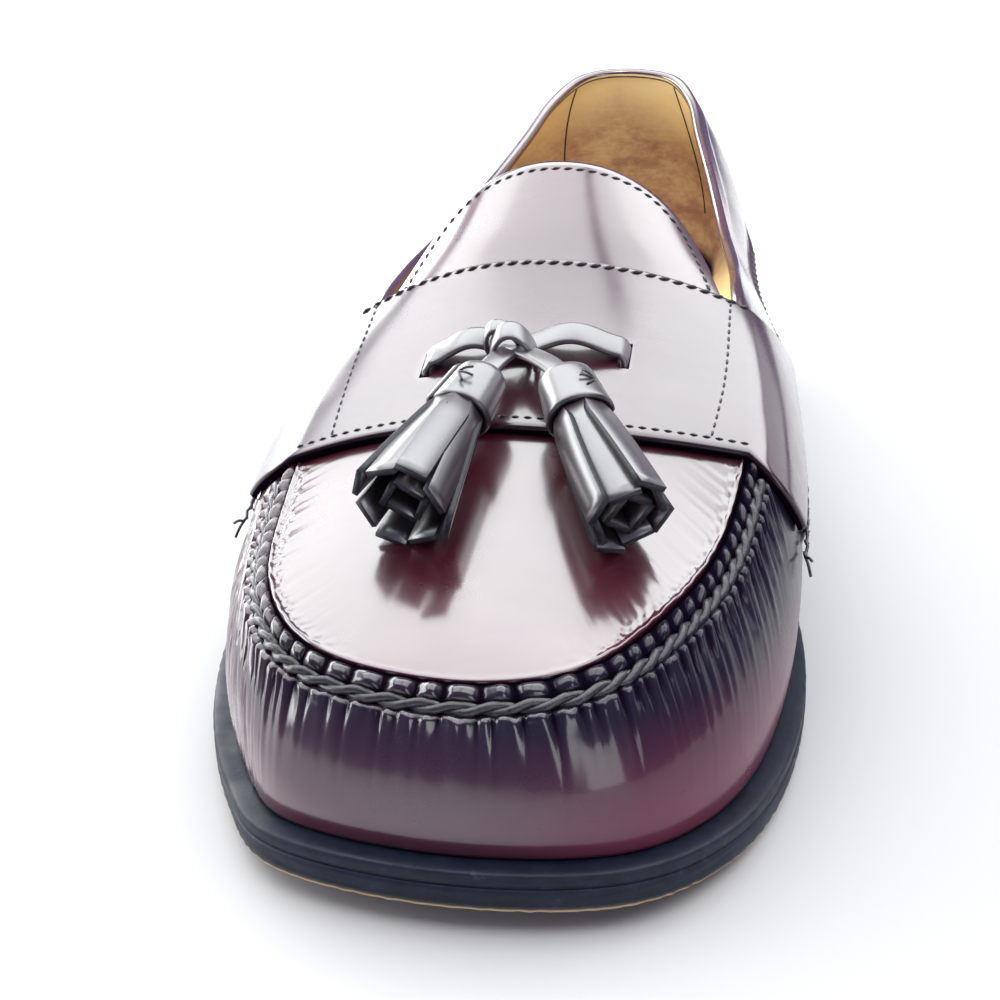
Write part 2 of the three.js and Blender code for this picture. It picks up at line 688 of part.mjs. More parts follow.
const WING_CURVE = 1.2;
function strapEdge(rise, middle, corner, wing) {
  if (rise > 1) return corner + (middle - corner) * (1 - (2 - rise) ** 2);
  return corner + (wing - corner) * ((1 - rise) / (1 - STRAP_LOW_RISE)) ** WING_CURVE;
}

function strapPoint({ side, rise }, share) {
  const front = strapEdge(rise, STRAP_FRONT, STRAP_CORNERS[side], WING_FRONT);
  const rear = strapEdge(rise, STRAP_REAR, STRAP_REAR, WING_REAR);
  return upperPoint(side, stationY(front + (rear - front) * share), rise);
}

// A sheet that lies on the instep's slope stands higher by this factor, measured upright.
const INSTEP_SLANT = 1.12;
const strapHeight = (x, y) => topHeight(x, y) + (GAP + STRAP_THICKNESS) * INSTEP_SLANT;

function makeStrap() {
  const grid = [];
  for (let i = 0; i < STRAP_LINES; i += 1) {
    grid.push(strapPlaces().map((place) => strapPoint(place, i / (STRAP_LINES - 1))));
  }
  let strap = toSolid(sheet(grid, GAP, GAP + STRAP_THICKNESS));
  for (const slot of SLOTS) {
    const cutter = new THREE.BoxGeometry(SLOT_WIDTH, SLOT_LENGTH, 4 * STRAP_THICKNESS);
    const height = strapHeight(slot.x, slot.y);
    cutter.rotateX(instepSlope(slot));
    cutter.translate(slot.x, slot.y, height - STRAP_THICKNESS / 2);
    strap = strap.subtract(toSolid(cutter));
  }
  return fromSolid(strap);
}

// The tongue: carries the vamp's surface on above the strap, to an arched top.
const TONGUE_LINES = 9;
const TONGUE_INSET = UPPER_WALL + 4 * GAP;
const TONGUE_CORNER = 0.01;      // height of its square corners, as a share of the length
const TONGUE_ARCH = 6;           // how full the arched top is
function makeTongue() {
  const places = [-1, -0.94, -0.82, -0.62, -0.38, -0.13, 0.13, 0.38, 0.62, 0.82, 0.94, 1];
  const base = stationY(THROAT) + RIM_ROUND + 3 * GAP;
  const top = stationY(TONGUE_TOP);
  const corner = base + TONGUE_CORNER * LENGTH;
  const grid = [];
  for (let i = 0; i < TONGUE_LINES; i += 1) {
    const share = i / (TONGUE_LINES - 1);
    grid.push(places.map((place) => {
      const reach = corner + (top - corner) * (1 - Math.abs(place) ** TONGUE_ARCH);
      const y = base + (reach - base) * share;
      const side = place < 0 ? LATERAL : MEDIAL;
      const middle = centreX(y);
      const half = Math.abs(rimPoint(side, rimAngle(y)).x - middle) - TONGUE_INSET;
      const x = middle + half * place;
      return new THREE.Vector3(x, y, topHeight(x, y));
    }));
  }
  return sheet(grid, -TONGUE_THICKNESS, 0);
}

// Lace: two slots in the strap, a bar arching from one to the other, a knot and two ends.
// Across is a share of the ball width from the shoe's axis.
const SLOTS = [
  { across: -0.100, station: 0.7185 },
  { across: 0.214, station: 0.7065 },
].map(({ across, station }) => ({ x: across * BALL_WIDTH, y: stationY(station) }));

// A flat band along a path: wide gives the band's width direction at each point.
const SQUARE_BAND = [[-0.5, -0.5], [-0.5, 0.5], [0.5, 0.5], [0.5, -0.5]];
const SOFT_BAND = [
  [-0.5, -0.2], [-0.5, 0.2], [-0.38, 0.5], [0.38, 0.5],
  [0.5, 0.2], [0.5, -0.2], [0.38, -0.5], [-0.38, -0.5],
];
function bandAlong(path, width, thickness, wide, section = SOFT_BAND) {
  const hull = new Hull();
  const rings = path.map((point, i) => {
    const ahead = path[Math.min(i + 1, path.length - 1)];
    const behind = path[Math.max(i - 1, 0)];
    const along = new THREE.Vector3().subVectors(ahead, behind).normalize();
    const across = wide(i / (path.length - 1)).clone();
    across.addScaledVector(along, -across.dot(along)).normalize();
    const normal = new THREE.Vector3().crossVectors(across, along);
    return hull.addAll(section.map(([u, v]) => point.clone()
      .addScaledVector(across, u * width)
      .addScaledVector(normal, v * thickness)));
  });
  for (let i = 1; i < rings.length; i += 1) hull.band(rings[i - 1], rings[i]);
  const close = (ring, flip) => {
    for (let i = 1; i < ring.length - 1; i += 1) {
      hull.faces.push(flip ? [ring[0], ring[i + 1], ring[i]] : [ring[0], ring[i], ring[i + 1]]);
    }
  };
  close(rings[0], true);
  close(rings.at(-1), false);
  return hull.geometry();
}

// The lace lies on the slope of the instep.
function instepSlope({ x, y }) {
  const half = LACE_WIDTH / 2;
  return Math.atan2(strapHeight(x, y + half) - strapHeight(x, y - half), LACE_WIDTH);
}

const KNOT_SHIFT = 0.15;         // the knot sits this share of its width off the middle
const KNOT_X = (SLOTS[0].x + SLOTS[1].x) / 2 - KNOT_SHIFT * KNOT_WIDTH;

function laceY(x) {
  const share = (x - SLOTS[0].x) / (SLOTS[1].x - SLOTS[0].x);
  return SLOTS[0].y + (SLOTS[1].y - SLOTS[0].y) * share;
}

function laceHeight(x) {
  const y = laceY(x);
  const half = LACE_WIDTH / 2;
  const bed = (strapHeight(x, y + half) + strapHeight(x, y - half)) / 2;
  const slot = x < KNOT_X ? SLOTS[0] : SLOTS[1];
  const arch = LACE_ARCH * Math.sin(Math.PI * (x - KNOT_X) / (slot.x - KNOT_X)) ** 2;
  return bed + 2 * GAP + LACE_THICKNESS / 2 + arch;
}

function makeLaceBar() {
  const steps = 9;
  const xs = [];
  for (let i = 0; i < steps; i += 1) xs.push(SLOTS[0].x + (KNOT_X - SLOTS[0].x) * i / steps);
  for (let i = 0; i <= steps; i += 1) xs.push(KNOT_X + (SLOTS[1].x - KNOT_X) * i / steps);
  const slope = instepSlope({ x: KNOT_X, y: laceY(KNOT_X) });
  const wide = new THREE.Vector3(0, -Math.cos(slope), -Math.sin(slope));
  const path = xs.map((x) => new THREE.Vector3(x, laceY(x), laceHeight(x)));
  return bandAlong(path, LACE_WIDTH, LACE_THICKNESS, () => wide);
}

// The knot is a rounded lump in front of the bar, with one wrap round it. Shares of its own
// width and height.
const KNOT_CORE = { wide: 0.88, deep: 0.72 };
const KNOT_WRAP = { radius: 0.40, thick: 0.14, stretch: 1.6 };
const KNOT_FORWARD = 0.22;
const KNOT_Y = laceY(KNOT_X) - LACE_WIDTH / 2 - KNOT_FORWARD * KNOT_WIDTH;
const KNOT = new THREE.Vector3(
  KNOT_X,
  KNOT_Y,
  strapHeight(KNOT_X, KNOT_Y) + LACE_THICKNESS + KNOT_HEIGHT / 2 + 3 * GAP,
);

function makeKnot() {
  const core = new THREE.SphereGeometry(0.5, 12, 8);
  core.scale(KNOT_WIDTH * KNOT_CORE.wide, KNOT_WIDTH * KNOT_CORE.deep, KNOT_HEIGHT);
  const wrap = new THREE.TorusGeometry(KNOT_HEIGHT * KNOT_WRAP.radius, KNOT_HEIGHT * KNOT_WRAP.thick, 8, 12);
  wrap.rotateY(Math.PI / 2);
  wrap.scale(KNOT_WRAP.stretch, 1, 1);
  const knot = toSolid(core).add(toSolid(wrap));
  return fromSolid(knot).translate(KNOT.x, KNOT.y, KNOT.z);
}

// Tassels: a rolled cap with a ring of flat strips that bend to their free end. Places are
// shares of the ball width across and of the length along; lifts are heights above the vamp as
// shares of the cap's diameter.
const TASSEL_PLACES = [
  { name: 'outer', part: 'top', across: 0.016, station: 0.763, lift: 0.79 },
  { name: 'outer', part: 'rim', across: -0.006, station: 0.796, lift: 0.765 },
  { name: 'outer', part: 'end', across: -0.043, station: 0.868, lift: 0.75 },
  { name: 'inner', part: 'top', across: 0.137, station: 0.763, lift: 0.79 },
  { name: 'inner', part: 'rim', across: 0.182, station: 0.799, lift: 0.765 },
  { name: 'inner', part: 'end', across: 0.277, station: 0.864, lift: 0.735 },
];

function tasselPlaces(name) {
  const at = {};
  for (const row of TASSEL_PLACES) {
    if (row.name !== name) continue;
    const x = row.across * BALL_WIDTH;
    const y = stationY(row.station);
    at[row.part] = new THREE.Vector3(x, y, topHeight(x, y) + row.lift * CAP_DIAMETER);
  }
  const axis = new THREE.Vector3().subVectors(at.rim, at.top).normalize();
  return { name, top: at.top, axis, end: at.end };
}

const TASSELS = ['outer', 'inner'].map(tasselPlaces);

const LACE_END_BEND = 0.35;      // how strongly an end curves into its cap
function makeLaceEnd({ top, axis }) {
  const finish = top.clone().addScaledVector(axis, -GAP);
  const control = top.clone().addScaledVector(axis, -LACE_END_BEND * KNOT.distanceTo(top));
  const outward = new THREE.Vector3().subVectors(control, KNOT).normalize();
  const start = KNOT.clone().addScaledVector(outward, KNOT_WIDTH / 2 + GAP);
  const curve = new THREE.QuadraticBezierCurve3(start, control, finish);
  const side = new THREE.Vector3().crossVectors(axis, new THREE.Vector3(0, 0, 1));
  return bandAlong(curve.getPoints(4), LACE_END_WIDTH, LACE_THICKNESS, () => side);
}

// Outside of a cap: reach is a share of its radius, along a share of its length.
const CAP_PROFILE = [
  { reach: 0, along: 0 },
  { reach: 0.72, along: 0 },
  { reach: 0.93, along: 0.07 },
  { reach: 0.97, along: 0.5 },
  { reach: 1, along: 1 },
];
const CORE_STEPS = [0, 0.2, 0.4, 0.6];
const STRIP_FLARE = 1.3;         // how late the strips spread
function makeTassel({ top, axis, end }) {
  const side = new THREE.Vector3().crossVectors(axis, new THREE.Vector3(0, 0, 1)).normalize();
  const over = new THREE.Vector3().crossVectors(side, axis);
  const radius = CAP_DIAMETER / 2;
  const inside = radius - CAP_WALL;
  const mouth = CAP_LENGTH - CAP_RECESS;
  const profile = CAP_PROFILE.map(({ reach, along }) => new THREE.Vector2(reach * radius, along * CAP_LENGTH));
  profile.push(
    new THREE.Vector2(inside, CAP_LENGTH),
    new THREE.Vector2(inside, mouth),
    new THREE.Vector2(0, mouth),
  );
  const cap = new THREE.LatheGeometry(profile, CAP_SIDES);
  const frame = new THREE.Matrix4().makeBasis(side, axis, over);
  frame.setPosition(top);
  cap.applyMatrix4(frame);
  let tassel = toSolid(cap);

  // The bundle's centre line leaves the cap along its axis and bends to the free end.
  const root = top.clone().addScaledVector(axis, mouth - CAP_WALL);
  const bend = top.clone().addScaledVector(axis, CAP_LENGTH + STRIP_LENGTH * STRIP_BEND);
  const toEnd = new THREE.Vector3().subVectors(end, bend).setLength(STRIP_LENGTH * (1 - STRIP_BEND));
  const line = new THREE.QuadraticBezierCurve3(root, bend, bend.clone().add(toEnd));
  const ring = inside - STRIP_THICKNESS / 2 - GAP;
  const core = CORE_STEPS.map((share) => line.getPoint(share));
  tassel = tassel.add(toSolid(bandAlong(core, 2 * ring, 2 * ring, () => side)));
  for (let i = 0; i < STRIP_COUNT; i += 1) {
    const turn = 2 * Math.PI * (i + 0.5) / STRIP_COUNT;
    const path = [];
    const wides = [];
    for (let k = 0; k <= STRIP_STEPS; k += 1) {
      const share = k / STRIP_STEPS;
      const along = line.getTangent(share);
      const right = new THREE.Vector3().crossVectors(along, new THREE.Vector3(0, 0, 1)).normalize();
      const up = new THREE.Vector3().crossVectors(right, along);
      const out = right.clone().multiplyScalar(Math.cos(turn)).addScaledVector(up, Math.sin(turn));
      wides.push(right.multiplyScalar(-Math.sin(turn)).addScaledVector(up, Math.cos(turn)));
      const stagger = STRIP_STAGGER * (i % 2) * share;
      const reach = ring + (STRIP_SPREAD - ring) * share ** STRIP_FLARE - stagger;
      path.push(line.getPoint(share).addScaledVector(out, reach));
    }
    const wide = (share) => wides[Math.round(share * STRIP_STEPS)];
    tassel = tassel.add(toSolid(bandAlong(path, STRIP_WIDTH, STRIP_THICKNESS, wide, SQUARE_BAND)));
  }
  // The largest shell is the outside; small pockets closed in between the strips are filled.
  const shells = tassel.decompose();
  return fromSolid(shells.reduce((a, b) => (a.volume() > b.volume() ? a : b)));
}

// Assembly
const OXBLOOD = { color: 0x4a1522, roughness: 0.18, metalness: 0 };
const EDGE_BLACK = { color: 0x16161c, roughness: 0.45, metalness: 0 };
const FOOTBED_TAN = { color: 0xb98a4e, roughness: 0.7, metalness: 0 };
const RUBBER_BLACK = { color: 0x101012, roughness: 0.8, metalness: 0 };

const shoe = new THREE.Group();
const free = new Set();
function place(name, geometry, look, isFree = false) {
  const mesh = new THREE.Mesh(geometry, new THREE.MeshStandardMaterial(look));
  mesh.name = name;
  shoe.add(mesh);
  if (isFree) free.add(mesh);
}

place('outsole', makeOutsole(), EDGE_BLACK);
place('welt', makeWelt(), EDGE_BLACK);
place('heel_stack', makeHeelStack(), EDGE_BLACK);
place('heel_top_lift', makeTopLift(), RUBBER_BLACK);
place('insole', makeInsole(), FOOTBED_TAN);
place('upper', makeUpper(), OXBLOOD);
place('tongue', makeTongue(), OXBLOOD);
place('saddle_strap', makeStrap(), OXBLOOD);
place('lace_bar', makeLaceBar(), OXBLOOD);
place('lace_knot', makeKnot(), OXBLOOD, true);
for (const tassel of TASSELS) {
  place(`lace_end_${tassel.name}`, makeLaceEnd(tassel), OXBLOOD, true);
  place(`tassel_${tassel.name}`, makeTassel(tassel), OXBLOOD, true);
}

// The origin is the bottom centre of the shoe's box, without the free lace ends and tassels.
const box = new THREE.Box3();
for (const mesh of shoe.children) {
  if (!free.has(mesh)) box.expandByObject(mesh);
}
const centre = box.getCenter(new THREE.Vector3());
shoe.position.set(-centre.x, -centre.y, -box.min.z);

const loafer = new THREE.Group();
loafer.add(shoe);

export default loafer;
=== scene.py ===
import math

import bmesh
import bpy
import numpy as np
from mathutils import Matrix, Vector


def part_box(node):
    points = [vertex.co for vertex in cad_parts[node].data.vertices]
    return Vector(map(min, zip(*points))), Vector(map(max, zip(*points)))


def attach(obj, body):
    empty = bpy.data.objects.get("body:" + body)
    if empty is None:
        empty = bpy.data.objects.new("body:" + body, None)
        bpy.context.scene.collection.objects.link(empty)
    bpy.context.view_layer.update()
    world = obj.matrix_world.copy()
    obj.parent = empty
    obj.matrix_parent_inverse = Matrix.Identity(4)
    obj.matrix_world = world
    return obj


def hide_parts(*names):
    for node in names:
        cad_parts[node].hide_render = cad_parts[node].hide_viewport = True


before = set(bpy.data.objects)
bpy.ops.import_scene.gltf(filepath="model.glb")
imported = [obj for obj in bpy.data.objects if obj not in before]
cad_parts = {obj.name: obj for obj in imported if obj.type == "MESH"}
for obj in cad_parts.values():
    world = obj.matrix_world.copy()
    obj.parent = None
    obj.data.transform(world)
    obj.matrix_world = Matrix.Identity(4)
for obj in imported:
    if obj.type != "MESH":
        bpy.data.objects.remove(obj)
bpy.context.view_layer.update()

# A right tassel loafer. Its own sizes are millimetres in the shoe's frame: toe towards -Y,
# inner side towards +X, +Z up. MM turns them into metres.
MM = 0.001

# Sizes of the last and the shell
LENGTH = 304
BALL_WIDTH = 117
BACK_HEIGHT = 85.5
COLLAR_HEIGHT = 61.5
CORNER_HEIGHT = 65.5
INSTEP_HEIGHT = 70.5
TOE_HEIGHT = 34.5
HEEL_HEIGHT = 23
TOE_SPRING = 4
UPPER_WALL = 2.5
GAP = 0.3

OUTSOLE_THICKNESS = 4.2
OUTSOLE_EDGE_ROUND = 0.7
WELT_THICKNESS = 2.6
WELT_STEP = 0.2
WELT_MARGIN = 3.4
HEEL_MARGIN = 2
INSOLE_THICKNESS = 3
TUCK = 1.6
FOOT_TUCK = 0.5
SIDE_RIDGE = 1.3
WALL_CUT = 0.93
BULGE_LEAN = 0.9
TUCK_RISE = 0.2
STRAP_THICKNESS = 1.7
TONGUE_THICKNESS = 1.8
RIM_ROUND = 0.7

# Places along the shoe, as shares of the length from the heel
APRON_FRONT = 0.953
BACK_EDGE = 0.018
FAN_FRONT = 0.868
THROAT = 0.645
STRAP_FRONT = 0.772
STRAP_REAR = 0.630
TONGUE_TOP = 0.547
FLAT_REAR = 0.64
FLAT_FRONT = 0.78
SIDE_SEAM_RISE = 0.54
STRAP_LOW_RISE = 0.63
WING_FRONT = 0.733
WING_REAR = 0.535
CREST_ARCH = 2.1

LATERAL = -1
MEDIAL = 1
# The strap lies a little askew: its front corners over the apron seam.
STRAP_CORNERS = {LATERAL: 0.780, MEDIAL: 0.761}


def table(columns, rows):
    names = columns.split()
    return [dict(zip(names, row)) for row in rows]


# Widths are shares of the ball width; the angle runs round the outline from heel to toe.
SOLE_SECTIONS = table("angle lateral medial", [
    (0, 0, 0),
    (15, 0.158, 0.158),
    (30, 0.275, 0.275),
    (45, 0.306, 0.304),
    (60, 0.300, 0.286),
    (75, 0.322, 0.268),
    (90, 0.388, 0.342),
    (105, 0.456, 0.480),
    (120, 0.440, 0.525),
    (135, 0.372, 0.504),
    (150, 0.272, 0.433),
    (165, 0.160, 0.300),
    (180, -0.068, 0.068),
])
RIM_SECTIONS = table("angle lateral medial", [
    (0, 0, 0),
    (15, 0.112, 0.131),
    (30, 0.172, 0.194),
    (45, 0.205, 0.230),
    (60, 0.248, 0.278),
    (75, 0.290, 0.326),
    (90, 0.295, 0.363),
    (105, 0.262, 0.382),
    (120, 0.278, 0.415),
    (135, 0.268, 0.393),
    (150, 0.226, 0.322),
    (165, 0.122, 0.222),
    (180, -0.068, 0.068),
])
RIM_HEIGHTS = table("angle lateral medial", [
    (0, BACK_HEIGHT, BACK_HEIGHT),
    (15, 0.985 * BACK_HEIGHT, 0.988 * BACK_HEIGHT),
    (30, 0.930 * BACK_HEIGHT, 0.940 * BACK_HEIGHT),
    (45, 0.850 * BACK_HEIGHT, 0.868 * BACK_HEIGHT),
    (60, 1.060 * COLLAR_HEIGHT, 1.095 * COLLAR_HEIGHT),
    (75, 0.965 * COLLAR_HEIGHT, COLLAR_HEIGHT),
    (90, 0.955 * COLLAR_HEIGHT, 1.010 * COLLAR_HEIGHT),
    (105, 0.925 * CORNER_HEIGHT, 0.985 * CORNER_HEIGHT),
    (120, 0.775 * CORNER_HEIGHT, 0.815 * CORNER_HEIGHT),
    (135, 1.215 * TOE_HEIGHT, 1.215 * TOE_HEIGHT),
    (150, 1.100 * TOE_HEIGHT, 1.090 * TOE_HEIGHT),
    (165, 1.025 * TOE_HEIGHT, 1.020 * TOE_HEIGHT),
    (180, TOE_HEIGHT, TOE_HEIGHT),
])
WALL_SECTIONS = table("angle full_lateral full_medial bulge_lateral bulge_medial", [
    (0, 1.8, 1.8, 0.016, 0.016),
    (30, 1.9, 1.8, 0.034, 0.036),
    (60, 1.5, 1.4, 0.062, 0.092),
    (90, 1.6, 2.3, 0.046, 0.142),
    (105, 1.8, 2.5, 0.008, 0.046),
    (120, 2.0, 2.8, 0.006, 0.016),
    (150, 2.1, 2.4, 0.004, 0.004),
    (180, 2.3, 2.3, 0, 0),
])
SOLE_HEIGHTS = table("station height", [
    (0, HEEL_HEIGHT),
    (0.12, HEEL_HEIGHT),
    (0.24, 0.965 * HEEL_HEIGHT),
    (0.34, 0.80 * HEEL_HEIGHT),
    (0.44, 0.47 * HEEL_HEIGHT),
    (0.53, 0.17 * HEEL_HEIGHT),
    (0.60, 0.03 * HEEL_HEIGHT),
])
CREST_HEIGHTS = table("station height", [
    (APRON_FRONT, TOE_HEIGHT),
    (0.888, 0.575 * INSTEP_HEIGHT),
    (0.83, 0.655 * INSTEP_HEIGHT),
    (0.77, 0.745 * INSTEP_HEIGHT),
    (0.704, 0.858 * INSTEP_HEIGHT),
    (0.638, INSTEP_HEIGHT),
    (0.598, 1.110 * INSTEP_HEIGHT),
    (TONGUE_TOP, 1.248 * INSTEP_HEIGHT),
])


def clamp(x, low=0.0, high=1.0):
    return max(low, min(high, x))


def smoothstep(x, low, high):
    t = clamp((x - low) / (high - low))
    return t * t * (3 - 2 * t)


def column_curve(rows, key, column, odd):
    """A smooth curve through one column of a table; odd ends run straight on, others level."""
    at = [row[key] for row in rows]
    value = [row[column] for row in rows]
    last = len(rows) - 1
    before = 2 * value[0] - value[1] if odd else value[1]
    after = 2 * value[-1] - value[-2] if odd else value[-2]
    at = [2 * at[0] - at[1]] + at + [2 * at[-1] - at[-2]]
    value = [before] + value + [after]
    rising = at[1] < at[2]
    slope = [0.0] + [
        (value[i + 1] - value[i - 1]) / (at[i + 1] - at[i - 1]) for i in range(1, last + 2)
    ]

    def curve(x):
        i = 1
        while i < last and (x > at[i + 1] if rising else x < at[i + 1]):
            i += 1
        span = at[i + 1] - at[i]
        t = clamp((x - at[i]) / span)
        t2 = t * t
        t3 = t2 * t
        return ((2 * t3 - 3 * t2 + 1) * value[i] + (t3 - 2 * t2 + t) * span * slope[i]
                + (3 * t2 - 2 * t3) * value[i + 1] + (t3 - t2) * span * slope[i + 1])

    return curve


def side_curve(rows, lateral, medial, odd):
    curves = {
        LATERAL: column_curve(rows, "angle", lateral, odd),
        MEDIAL: column_curve(rows, "angle", medial, odd),
    }
    return lambda side, angle: curves[side](angle)


sole_width = side_curve(SOLE_SECTIONS, "lateral", "medial", True)
rim_width = side_curve(RIM_SECTIONS, "lateral", "medial", True)
rim_height = side_curve(RIM_HEIGHTS, "lateral", "medial", False)
wall_fullness = side_curve(WALL_SECTIONS, "full_lateral", "full_medial", False)
wall_bulge = side_curve(WALL_SECTIONS, "bulge_lateral", "bulge_medial", False)
waist_height = column_curve(SOLE_HEIGHTS, "station", "height", False)
crest_height = column_curve(CREST_HEIGHTS, "station", "height", True)


def station_y(station):
    return LENGTH * (0.5 - station)


def station_of(y):
    return 0.5 - y / LENGTH


def sole_bottom(y):
    station = station_of(y)
    if station > FLAT_FRONT:
        return TOE_SPRING * ((station - FLAT_FRONT) / (1 - FLAT_FRONT)) ** 2
    if station >= FLAT_REAR:
        return 0.0
    last = SOLE_HEIGHTS[-1]
    if station > last["station"]:
        return last["height"] * ((FLAT_REAR - station) / (FLAT_REAR - last["station"])) ** 2
    return waist_height(station)


def welt_bottom(y):
    return sole_bottom(y) + OUTSOLE_THICKNESS + GAP


def foot_bed(y):
    return welt_bottom(y) + WELT_THICKNESS + GAP


def sole_point(side, angle):
    return np.array([
        side * BALL_WIDTH * sole_width(side, angle),
        LENGTH / 2 * math.cos(math.radians(angle)),
    ])


def sole_outward(side, angle):
    if angle < 0.01:
        return np.array([0.0, 1.0])
    if angle > 179.99:
        return np.array([0.0, -1.0])
    along = sole_point(side, min(angle + 0.5, 180)) - sole_point(side, max(angle - 0.5, 0))
    along /= np.linalg.norm(along)
    return np.array([-side * along[1], side * along[0]])


RIM_REAR_Y = station_y(BACK_EDGE)
RIM_FRONT_Y = station_y(APRON_FRONT)
RIM_MIDDLE = (RIM_REAR_Y + RIM_FRONT_Y) / 2
RIM_REACH = (RIM_REAR_Y - RIM_FRONT_Y) / 2


def rim_angle(y):
    return math.degrees(math.acos(clamp((y - RIM_MIDDLE) / RIM_REACH, -1, 1)))


def rim_point(side, angle):
    return np.array([
        side * BALL_WIDTH * rim_width(side, angle),
        RIM_MIDDLE + RIM_REACH * math.cos(math.radians(angle)),
        rim_height(side, angle),
    ])


def foot_margin(angle):
    return HEEL_MARGIN + (WELT_MARGIN - HEEL_MARGIN) * smoothstep(angle, 60, 110)


def wall_column(side, angle):
    """The side wall at one place round the shoe, as a function of rise: 0 foot, 1 rim."""
    outward = sole_outward(side, angle)
    foot = sole_point(side, angle) - outward * foot_margin(angle)
    foot_z = foot_bed(foot[1])
    rim = rim_point(side, angle)
    fullness = wall_fullness(side, angle)
    bulge_size = BALL_WIDTH * wall_bulge(side, angle)
    end = (1 - WALL_CUT ** fullness) ** (1 / fullness)

    def point(rise):
        level = (1 - (rise * WALL_CUT) ** fullness) ** (1 / fullness)
        reach = 1 - (level - end) / (1 - end)
        bulge = bulge_size * math.sin(math.pi * rise ** BULGE_LEAN)
        tuck = FOOT_TUCK * max(0.0, 1 - rise / TUCK_RISE) ** 2
        flat = foot + (rim[:2] - foot) * reach + outward * (bulge - tuck)
        return np.array([flat[0], flat[1], foot_z + (rim[2] - foot_z) * rise])

    return point


def centre_x(y):
    angle = rim_angle(y)
    return (rim_point(LATERAL, angle)[0] + rim_point(MEDIAL, angle)[0]) / 2


def top_height(x, y):
    angle = rim_angle(y)
    middle = centre_x(y)
    edge = rim_point(LATERAL if x < middle else MEDIAL, angle)
    across = min(abs((x - middle) / max(abs(edge[0] - middle), 0.01)), 1.3)
    crest = crest_height(station_of(y))
    return crest - (crest - edge[2]) * across ** CREST_ARCH


def top_point(side, y, across):
    middle = centre_x(y)
    x = middle + (rim_point(side, rim_angle(y))[0] - middle) * across
    return np.array([x, y, top_height(x, y)])


def upper_point(side, y, rise):
    """rise 0 to 1 is the wall, 1 to 2 the vamp's top up to its centre ridge."""
    if rise <= 1:
        return wall_column(side, rim_angle(y))(rise)
    return top_point(side, y, 2 - rise)


def run_along(points):
    """Distance of each point of a line from the line's start."""
    steps = np.linalg.norm(np.diff(points, axis=0), axis=1)
    return np.concatenate([[0], np.cumsum(steps)])


def unit(v):
    return v / np.linalg.norm(v)


# The frame's origin is the centre of the shoe's box, so x moves by what the outline is off.
SOLE_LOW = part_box("outsole")[0]
OUTLINE_LOW_X = min(sole_point(LATERAL, a / 4)[0] for a in range(721))
SHIFT = np.array([SOLE_LOW[0] / MM - OUTLINE_LOW_X, 0.0, 0.0])


def metres(point):
    return Vector((np.asarray(point, float) + SHIFT) * MM)


# Camera
# Where the photograph was taken from, in the shoe's own frame, and how it was turned.
CAMERA_AT = np.array([53.36, -316.63, 144.48])
CAMERA_YAW = 2.36
CAMERA_PITCH = 23.5
CAMERA_ROLL = -4.53
PHOTO_FOCAL = 1009.2
PHOTO_CENTRE = (509.6, 526.95)
PHOTO_SIZE = 1000
# The one shoe is centred and brought closer than in the photograph of the pair.
AIM_PIXEL = (279, 524)
ZOOM = 1.43
FILM_WIDTH = 36


def photo_axes():
    yaw, pitch, roll = (math.radians(a) for a in (CAMERA_YAW, CAMERA_PITCH, CAMERA_ROLL))
    ahead = np.array([
        math.sin(yaw) * math.cos(pitch), math.cos(yaw) * math.cos(pitch), -math.sin(pitch),
    ])
    right = np.array([math.cos(yaw), -math.sin(yaw), 0.0])
    down = np.cross(ahead, right)
    return (
        math.cos(roll) * right + math.sin(roll) * down,
        -math.sin(roll) * right + math.cos(roll) * down,
        ahead,
    )


def add_camera():
    right, down, ahead = photo_axes()
    aim = (right * (AIM_PIXEL[0] - PHOTO_CENTRE[0]) / PHOTO_FOCAL
           + down * (AIM_PIXEL[1] - PHOTO_CENTRE[1]) / PHOTO_FOCAL + ahead)
    aim /= np.linalg.norm(aim)
    side = right - aim * np.dot(right, aim)
    side /= np.linalg.norm(side)
    up = np.cross(side, aim)
    data = bpy.data.cameras.new("camera")
    data.sensor_width = FILM_WIDTH
    data.lens = ZOOM * PHOTO_FOCAL * FILM_WIDTH / PHOTO_SIZE
    data.clip_start = 0.01
    camera = bpy.data.objects.new("camera", data)
    bpy.context.scene.collection.objects.link(camera)
    at = metres(CAMERA_AT)
    camera.matrix_world = Matrix((
        (side[0], up[0], -aim[0], at[0]),
        (side[1], up[1], -aim[1], at[1]),
        (side[2], up[2], -aim[2], at[2]),
        (0, 0, 0, 1),
    ))
    bpy.context.scene.camera = camera


add_camera()


# Materials
# Painted shade and dark reflections on the front walls and the strap blend the leather towards this
# aubergine.
PAINTED_SHADE_AUBERGINE = (0.010, 0.006, 0.018)
# Painted shade in creases, seam gaps, pleat valleys, along sheet edges and under them.
PAINTED_CREASE_SHADE = (0.003, 0.002, 0.005)
DUST = (0.45, 0.42, 0.42)
# Painted reflection of the floor: the lighter mauve-red that the low front walls blend towards.
PAINTED_REFLECTION_MAUVE = (0.17, 0.035, 0.07)
WORN_LINING = (0.33, 0.17, 0.115)
BARE_LEATHER = (0.62, 0.44, 0.28)
FLOOR_COLOUR = (0.57, 0.565, 0.565, 1)
LEATHER_IOR = 1.55
PAINTED_SHADE_DULLS = 0.45


def new_material(name):
    material = bpy.data.materials.new(name)
    material.use_nodes = True
    nodes = material.node_tree.nodes
    return material, nodes, material.node_tree.links, nodes["Principled BSDF"]


